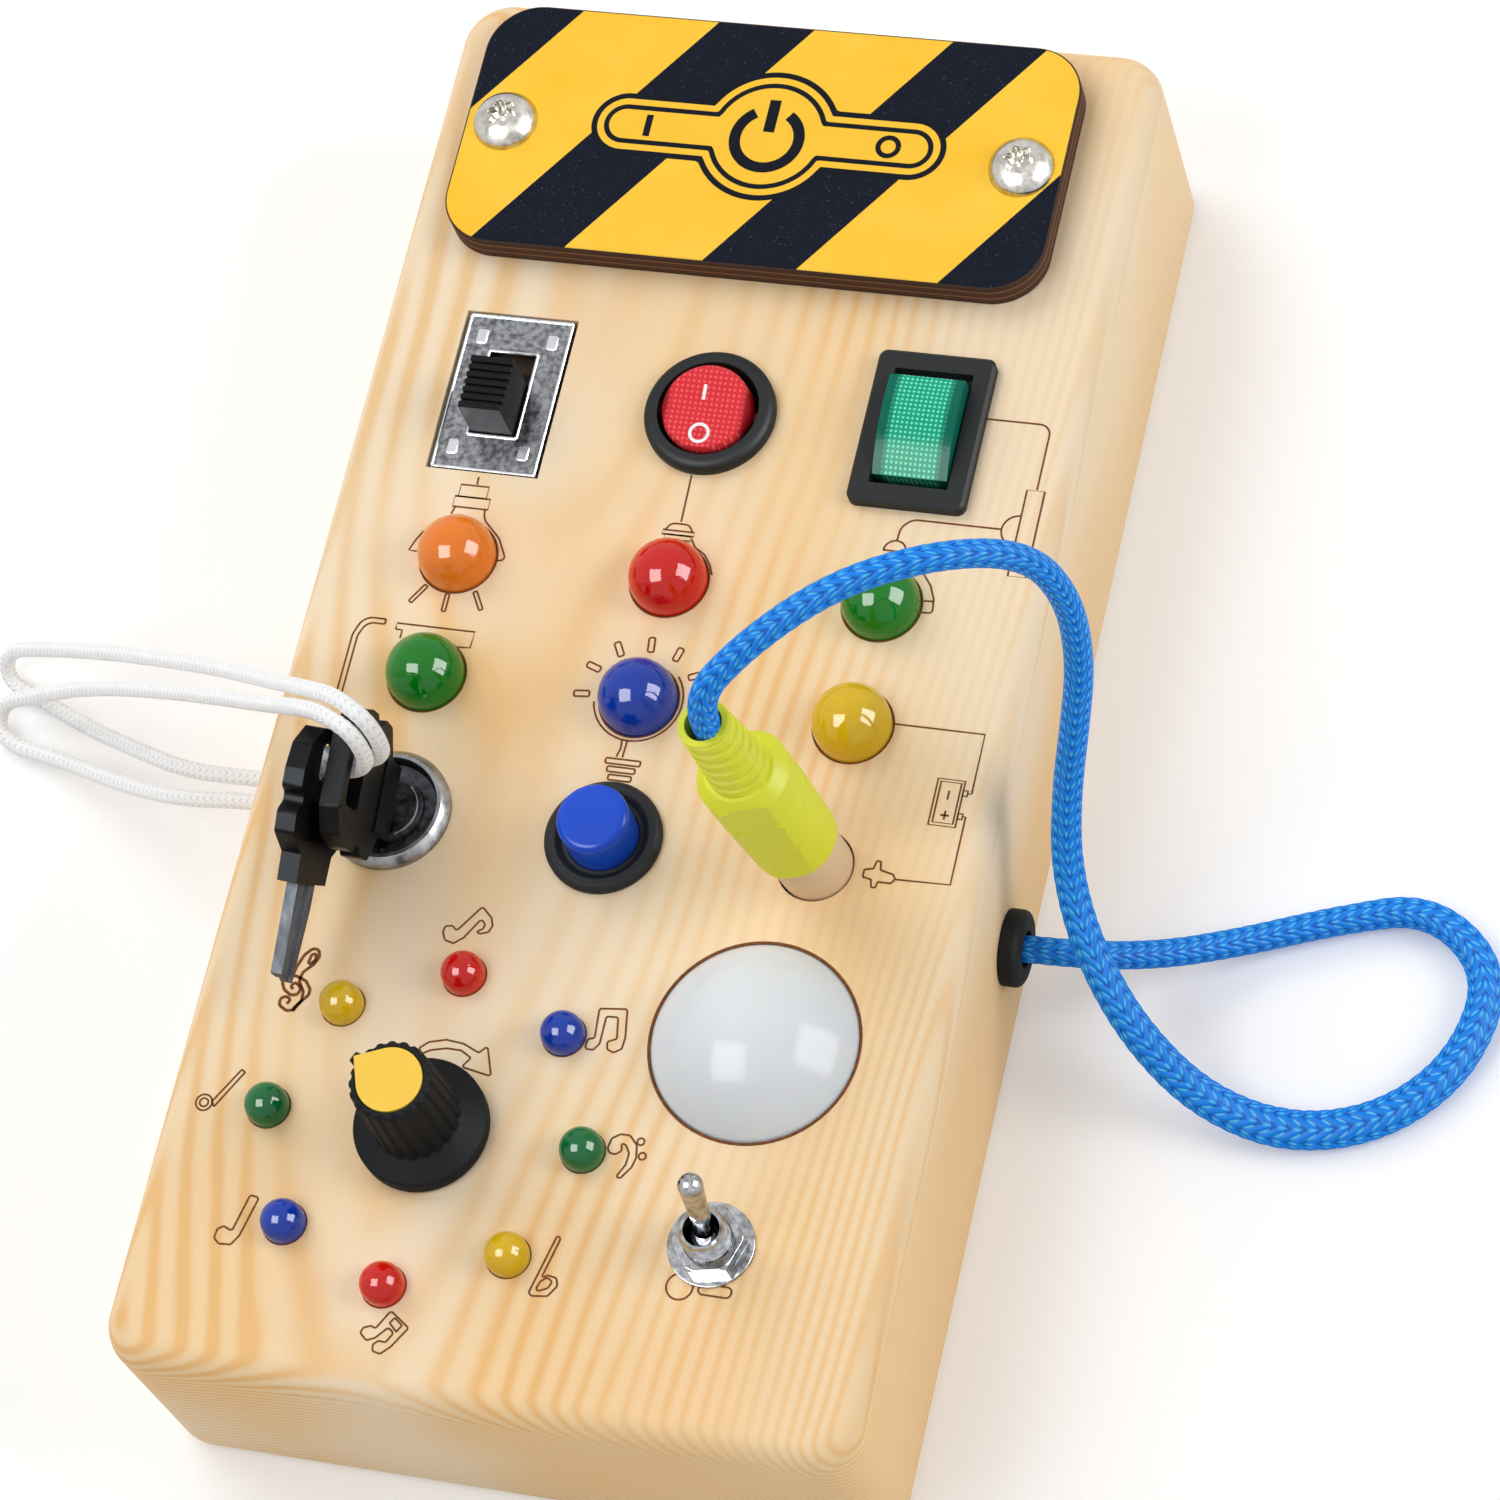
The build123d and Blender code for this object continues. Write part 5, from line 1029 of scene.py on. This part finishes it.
# %% Clear coloured plastic
def lens_plastic(name, colour, deep, dot_mm, x0, y0, wall, dark):
    """Tinted clear plastic over a dotted inner side, drawn as one glossy skin that spreads light.
    A dot is where cos(2 pi x / dot) + cos(2 pi y / dot) is high. Beyond the wall's distance from
    the middle there are no dots, and the colour is darker."""
    material, tree, bsdf = shader(name, colour, 0.14, Specular_IOR_Level=0.1, Subsurface_Weight=0.3,
                                  Subsurface_Scale=0.002)
    place = add(tree, "TexCoord").outputs["Object"]
    place = add(tree, "Mapping", {"Vector": place, "Location": (-x0 / dot_mm, -y0 / dot_mm, 0),
                                  "Scale": [1000 / dot_mm] * 3})
    axis = add(tree, "SeparateXYZ", {0: place})
    waves = []
    for way in axis.outputs[:2]:
        wave = add(tree, "Math", {0: way, 1: 2 * math.pi}, operation="MULTIPLY")
        waves.append(add(tree, "Math", {0: wave}, operation="COSINE"))
    dot = add(tree, "Math", dict(enumerate(waves)), operation="ADD")
    dot = add(tree, "MapRange", {0: dot, 1: 0.2, 2: 1.6})
    body = add(tree, "ValToRGB", {0: dot}, stops=[(0.0, deep), (1.0, colour)])
    side = add(tree, "Math", {0: axis}, operation="ABSOLUTE")
    side = add(tree, "MapRange", {0: side, 1: (wall - 0.3) / dot_mm, 2: (wall + 0.5) / dot_mm})
    mix = add(tree, "Mix", {0: side, 6: body, 7: linear(dark)}, data_type="RGBA")
    relief = add(tree, "Bump", {"Height": dot, "Distance": 0.01 * mm})
    feed(tree, bsdf, {"Base Color": mix.outputs[2], "Normal": relief})
    return material


rocker_x, rocker_y = -0.4, 38.1
red_dots, green_dots = 0.7, 0.62
red_lens = lens_plastic("moulded polycarbonate red", "#F7656A", "#E23640", red_dots, rocker_x, rocker_y,
                        4.9, "#8C0E18")
green_lens = lens_plastic("moulded polycarbonate green", "#7DF0CE", "#1EA884", green_dots, 27.7, 38.45,
                          3.4, "#0B6A58")
print("moulded dots", red_dots, green_dots, "mm apart")

# %% Slide switch and rockers
smoothed("slide_frame", "board", stamped_steel, bevel=0.15)
slide_x, slide_y, slide_top = -28.7, 38.1, face - 0.2
bar_wide = 0.4
bars = []
for wide, long, edge in ((14.3, 22.6, -0.2), (6.3, 11.9, 0.18)):
    for side in (-1, 1):
        bar_x, bar_y = slide_x + side * (wide / 2 + edge), slide_y + side * (long / 2 + edge)
        bars.append(box_loop(bar_wide, long + 2 * edge, 0.1, 2, (bar_x, slide_y)))
        bars.append(box_loop(wide + 2 * edge, bar_wide, 0.1, 2, (slide_x, bar_y)))
clips = [(slide_x + 4.8 * x, slide_y + 8.1 * y) for x in (-1, 1) for y in (-1, 1)]
bars += [box_loop(1.5, 2.1, 0.3, 3, place) for place in clips]
rolled_edge = [(0, slide_top - 0.1), (0, slide_top + 0.1), (0.12, slide_top + 0.2)]
# Painted highlight: the edges and clips are in a paler steel than the plate.
surface("slide_plate_edges", "board", [plate(bar, rolled_edge) for bar in bars], edge_highlight_steel, crease=25)
smoothed("slide_base", "board", moulded("phenolic board", "#3A2A1C", 0.6, grain=0.6))
smoothed("slide_knob", "slider", black_abs, bevel=0.12)
bezel_abs = moulded("moulded ABS bezel black", "#1D2021", 0.5)
smoothed("round_rocker_housing", "board", bezel_abs, bevel=0.12)
smoothed("round_rocker_button", "round_rocker", red_lens, bevel=0.25)
smoothed("square_rocker_housing", "board", bezel_abs, bevel=0.12)
smoothed("square_rocker_button", "square_rocker", green_lens, bevel=0.3)
print("switches dressed")

# %% Marks on the round rocker
mark_white = moulded("printed white ink", "#F4F4F4", 0.5)
rocker_tilt, facet_tilt, facet_height = 9.0, 4.5, 3.0
mark_wide = 0.42


def on_rocker(points):
    """A ribbon laid on the two facets of the button, which meet in a shallow valley: its local
    height is facet_height + |y| tan(facet_tilt). The whole is then tilted with the button."""
    flat = ribbon(points, mark_wide, 0.03) - (0, 0, face)
    flat[..., 2] += facet_height + np.abs(flat[..., 1]) * math.tan(math.radians(facet_tilt))
    return moved(flat, about("x", rocker_tilt), (rocker_x, rocker_y, face))


surface("rocker_marks", "round_rocker",
        [on_rocker([(-0.45, 1.0), (-0.45, 3.0)]), on_rocker(arc((-0.1, -3.5), 1.2, 0, 360, 30))],
        mark_white, crease=60)
print("marks at tilt", rocker_tilt, "degrees")

# %% [markdown]
# ## Push button and key lock
# The push button's cap is a glossy blue plastic with a softly rounded rim in a stepped
# black bezel. The lock is a plated ring round a dark dish; the cylinder with the key's
# slot turns in its middle, and the keys have moulded heads on flat steel blades.

# %% Button and lock
smoothed("push_housing", "board", bezel_abs, bevel=0.12)
smoothed("push_cap", "push_button", button_abs)
lock_x, lock_y = -28.7, -21.5
dish_radius, mark_radius, core_top = 6.5, 3.9, face + 1.4
lock_ring = smoothed("lock_body", "board", zinc_steel, bevel=0.1)
lock_ring.data.materials.append(dark_steel)
for flat in lock_ring.data.polygons:
    away = math.hypot(flat.center.x / mm - lock_x, flat.center.y / mm - lock_y)
    flat.material_index = int(away < dish_radius and flat.center.z > face * mm)
smoothed("lock_core", "key", dark_steel, bevel=0.1)
bead = turned([(0, 0), (0.16, 0), (0.1, 0.16), (0, 0.2)], sides=12)
arrow = [moved(bead, shift=(lock_x + mark_radius * math.cos(a), lock_y + mark_radius * math.sin(a), core_top))
         for a in np.radians(np.arange(-62, 52, 2.0))]
a = np.radians(np.linspace(0, 90, 8))
dot = turned(np.c_[0.55 * np.cos(a), core_top + 0.5 * np.sin(a)], (lock_x - 0.2, lock_y - 3.6), 24)
surface("lock_marks", "key", [*arrow, dot], zinc_steel)
for which in ("one", "two"):
    smoothed("key_%s_bow" % which, "key", key_nylon, bevel=0.4)
    smoothed("key_%s_blade" % which, "key", key_steel, bevel=0.15)
print("keys", 2)

# %% [markdown]
# ## The dial
# The knob is moulded: a wide skirt, a fluted barrel that narrows upwards and a ridge
# that runs up to the pointer. In polar form each flute is a round groove: at a distance
# d from its middle it cuts in by sqrt(f^2 - d^2) - (f - depth), for a groove of radius f.
# The cap's outline is a circle and its two tangents from the pointer's tip.

# %% Knob
knob_top = 48.7
cap_circle, pointer_reach, cap_gap = 4.1, 5.6, 0.12


def knob_surface(flutes=20, flute=0.65, depth=0.25, pointer=155.7, rows_apart=0.7):
    """r(a, z) = profile(z) - max(0, sqrt(f^2 - d^2) - (f - depth)) on the barrel, and at the pointer's
    angle the ridge, whose end is flat and slopes off at its sides, where that is larger. The top
    has a seat for the cap, of the cap's own outline."""
    corners = [(0, 32.9), (8.4, 32.9), (8.4, 34.8), (8.1, 35.1), (5.65, 36.8), (5.15, 48.3), (4.8, knob_top)]
    line = rounded_line(corners, [0, 0.1, 0.25, 0.25, 0.4, 0.3, 0], 4)
    line = np.vstack([np.linspace(p, q, 1 + int(np.ceil(abs(q[1] - p[1]) / rows_apart)), endpoint=False)
                      for p, q in zip(line, line[1:])] + [line[-1:]])
    angle = np.linspace(0, 2 * np.pi, flutes * 24 + 1)[None]
    r, z = line[:, :1], line[:, 1:]
    on_barrel = np.clip((z - 36.6) / 0.5, 0, 1)
    offset = np.angle(np.exp(1j * (angle - math.radians(pointer))))
    step = 2 * np.pi / flutes
    from_flute = (np.mod(offset, step) - step / 2) * r
    cut = np.maximum(0, np.sqrt(np.maximum(0, flute ** 2 - from_flute ** 2)) - (flute - depth))
    radius = r - on_barrel * cut
    across = np.abs(r * np.sin(offset))
    ridge_end = np.where(np.cos(offset) > 0, 6.0, 0) - 4 * np.maximum(0, across - 0.55)
    ridge_end = ridge_end - np.maximum(0, z - 48.3) * 0.8
    radius = np.where((z > 35.1) & (across < 1.3), np.maximum(radius, ridge_end), radius)
    spread = math.acos(cap_circle / pointer_reach)
    seat = cap_gap + cap_circle / np.cos(np.maximum(0, spread - np.abs(offset[0])))
    rows = [*zip(radius, line[:, 1]), (np.minimum(seat + 0.05, radius[-1]), knob_top),
            (seat, 48.65), (seat, 48.2), (seat * 0, 48.2)]
    return np.stack([np.stack([q * np.cos(angle[0]), q * np.sin(angle[0]), np.full(q.shape, h)], -1)
                     for q, h in rows]) + np.r_[knob_place, 0]


surface("fluted_knob", "dial", [knob_surface()], knob_abs, ("knob",), crease=50)
smoothed("knob_cap", "dial", cap_abs, bevel=0.2)
smoothed("pot_shaft", "dial", nickel)
print("knob top", knob_top)

# %% [markdown]
# ## The toggle
# A turned bush with a fine thread carries a hexagon nut and a washer. The lever is a
# turned bat on a ball, leaning up the board. Chrome shows the room, which on parts this
# small is a patchwork of pale and dark, so its shade drifts in patches of a millimetre: a painted reflection.
# The thread is a row of rings in the profile: this fine, a real helix looks the same.

# %% Toggle
thread_radius, thread_depth, half_pitch, ridges = 3.0, 0.16, 0.2, 28
thread = [(thread_radius - thread_depth * (i % 2), face + half_pitch * i) for i in range(ridges)]
bush = [(2.2, 27.0), (2.8, 27.0), *thread, (2.6, 38.4), (2.25, 38.4), (2.2, 38.2), (2.2, 27.0)]
toggle_place = (25.3, -71.6)
foot = plate(box_loop(8.0, 13.0, 0.4, 3, toggle_place), [(0, wall_back - 0.8), (0, wall_back)])
surface("threaded_bush", "board", [turned(bush, toggle_place, 96), foot], chrome, ("toggle_bushing",),
        crease=30)
smoothed("toggle_nut", "board", chrome, bevel=0.12)
smoothed("toggle_washer", "board", chrome, bevel=0.1)

# %% Lever
ball_radius, tip_radius, tip_height = 2.15, 1.55, 11.95
lever_lean, pivot_height = -11.4, 34.9
ball, tip = np.radians(np.linspace(-90, 60, 20)), np.radians(np.linspace(-10, 90, 12))
lever = np.vstack([np.c_[ball_radius * np.cos(ball), ball_radius * np.sin(ball)],
                   [(1.25, 2.0), (1.28, 6.0), (1.45, 10.0)],
                   np.c_[tip_radius * np.cos(tip), tip_height + tip_radius * np.sin(tip)]])
lever = moved(turned(lever), about("x", lever_lean), (*toggle_place, pivot_height))
surface("bat_lever", "toggle", [lever], chrome, ("toggle_lever",), crease=40)
print("lever length", round(tip_height + tip_radius, 2))

# %% [markdown]
# ## Plug and grommet
# The plug is soft moulded plastic: a grip with two flats and a ribbed tail that bends
# with the cord. It stands in a pale sleeve in the face, and the cord's other end goes
# into the side through a rubber grommet.

# %% Plug
smoothed("plug_shell", "plug", plug_pvc, bevel=0.18)
smoothed("plug_collar", "plug", collar_abs, bevel=0.35)
smoothed("plug_pin", "plug", nickel)
smoothed("grommet", "board", rubber, bevel=0.2)
print("plug leans", np.round(plug_lean, 3).tolist())

# %% [markdown]
# ## Parts behind the face
# The hidden parts have plain materials of their kind, so that the board looks right
# from behind and with the battery door open.

# %% Inside and back
# Circuit board is woven glass in green epoxy: smooth, with the weave faintly under the skin.
board_green = moulded("glass epoxy board", "#2F6B45", 0.4, grain=0.8)
# A cell's sleeve is a glossy film, and brass springs tarnish in patches.
cell_wrap = moulded("printed cell sleeve", "#C9A35A", 0.35, grain=2.0)
brass = metal("brass", "#D8B36A", 0.25, patch=0.15)
hidden = {"back_screws": zinc_steel, "battery_tray": black_abs, "battery_cover": black_abs,
          "battery_cover_screw": zinc_steel, "battery_cells": cell_wrap, "battery_contacts": nickel,
          "ring_board": board_green, "dome_lamp": board_green, "rocker_terminals": brass,
          "panel_nuts": nickel, "potentiometer": zinc_steel, "toggle_case": black_abs,
          "jack_socket": black_abs}
for node, finish in hidden.items():
    kept = nodes[node]
    kept.data.materials.clear()
    kept.data.materials.append(finish)
print("kept nodes dressed")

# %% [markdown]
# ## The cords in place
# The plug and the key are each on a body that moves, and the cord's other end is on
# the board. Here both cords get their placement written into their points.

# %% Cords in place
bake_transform(cord)
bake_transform(lanyard)

# %% [markdown]
# ## Floor and light
# The board lies on a plain pale floor. A camera sees the floor's own light added to
# the light that falls on it, so the floor is white where nothing shades it, and the
# shadow stays a soft grey. An even light comes from all round. The camera, gloss and
# clear plastic see a white room instead, which is brighter than that even light.

# %% Floor
floor_half = 4.0              # metres from the middle to a side
floor_glow = 0.16
floor_corners = [(x * floor_half, y * floor_half, 0) for x, y in ((-1, -1), (1, -1), (1, 1), (-1, 1))]
floor_mesh = bpy.data.meshes.new("floor")
floor_mesh.from_pydata(floor_corners, [], [(0, 1, 2, 3)])
floor = bpy.data.objects.new("floor", floor_mesh)
floor.location = (0, 0, 0)
bpy.context.scene.collection.objects.link(floor)
paper, tree, bsdf = shader("white paper", "#F4F4F4", 0.9)
glow = add(tree, "Emission", {"Color": (1, 1, 1, 1), "Strength": floor_glow})
lit = add(tree, "AddShader", {0: bsdf, 1: glow})
choice = add(tree, "MixShader", {0: add(tree, "LightPath").outputs["Is Camera Ray"], 1: bsdf, 2: lit})
feed(tree, tree.nodes["Material Output"], {"Surface": choice})
floor_mesh.materials.append(paper)
print("floor", 2 * floor_half, "m wide")

# %% Light from all round
even_strength, seen_strength = 0.36, 1.0
world = bpy.data.worlds.new("studio")
bpy.context.scene.world = world
world.use_nodes = True
tree = world.node_tree
even_light = tree.nodes["Background"]
feed(tree, even_light, {"Color": (1, 1, 1, 1), "Strength": even_strength})
seen = add(tree, "Background", {"Color": (1, 1, 1, 1), "Strength": seen_strength})
rays = add(tree, "LightPath")
flag = add(tree, "Math", {0: rays.outputs["Is Camera Ray"], 1: rays.outputs["Is Transmission Ray"]},
           operation="MAXIMUM")
flag = add(tree, "Math", {0: flag, 1: rays.outputs["Is Glossy Ray"]}, operation="MAXIMUM")
mix = add(tree, "MixShader", {0: flag, 1: even_light, 2: seen})
feed(tree, tree.nodes["World Output"], {"Surface": mix})
print("even light", even_strength, "seen", seen_strength)

# %% [markdown]
# ### Soft boxes and windows
# Gloss and matt surfaces get lamps of their own here, so that each has its own
# strength. Two square soft boxes, left and right of the camera, and a broad one behind
# light the board and stay out of its gloss. Two windows in the same directions as the
# first two only show in the gloss, where they are the highlights, and light nothing.

# %% Lamps of the studio
def softbox(name, toward, distance, width, light, shines=True, lights=True):
    """A square lamp in the given direction, aimed at the board's middle. The light that
    arrives there, in watts per square metre, fixes its power: light x pi x distance^2.
    One that shines shows in gloss, and one that lights adds to what matt surfaces get."""
    data = bpy.data.lights.new(name, "AREA")
    data.shape = "SQUARE"
    data.size = width
    data.energy = light * math.pi * distance ** 2
    lamp = bpy.data.objects.new(name, data)
    bpy.context.scene.collection.objects.link(lamp)
    toward = np.array(toward) / np.linalg.norm(toward)
    lamp.visible_glossy, lamp.visible_diffuse = shines, lights
    place = toward * distance
    side = np.cross((0.0, 1.0, 0.0), toward)
    side /= np.linalg.norm(side)
    pose = np.eye(4)
    pose[:3, 0], pose[:3, 1], pose[:3, 2], pose[:3, 3] = side, np.cross(toward, side), toward, place
    lamp.matrix_world = Matrix(pose.tolist())
    return lamp


left, right, behind = (-0.332, -0.359, 0.872), (0.829, 0.128, 0.545), (-0.55, 0.45, 0.7)
softbox("left soft box", left, 0.95, 0.5, 0.75, shines=False)
softbox("right soft box", right, 0.95, 0.5, 1.05, shines=False)
softbox("left window", left, 0.85, 0.5, 4.6, lights=False)
softbox("right window", right, 0.85, 0.58, 6.2, lights=False)
softbox("broad back light", behind, 1.5, 1.2, 1.5, shines=False)
bpy.context.scene.view_settings.view_transform = "Standard"
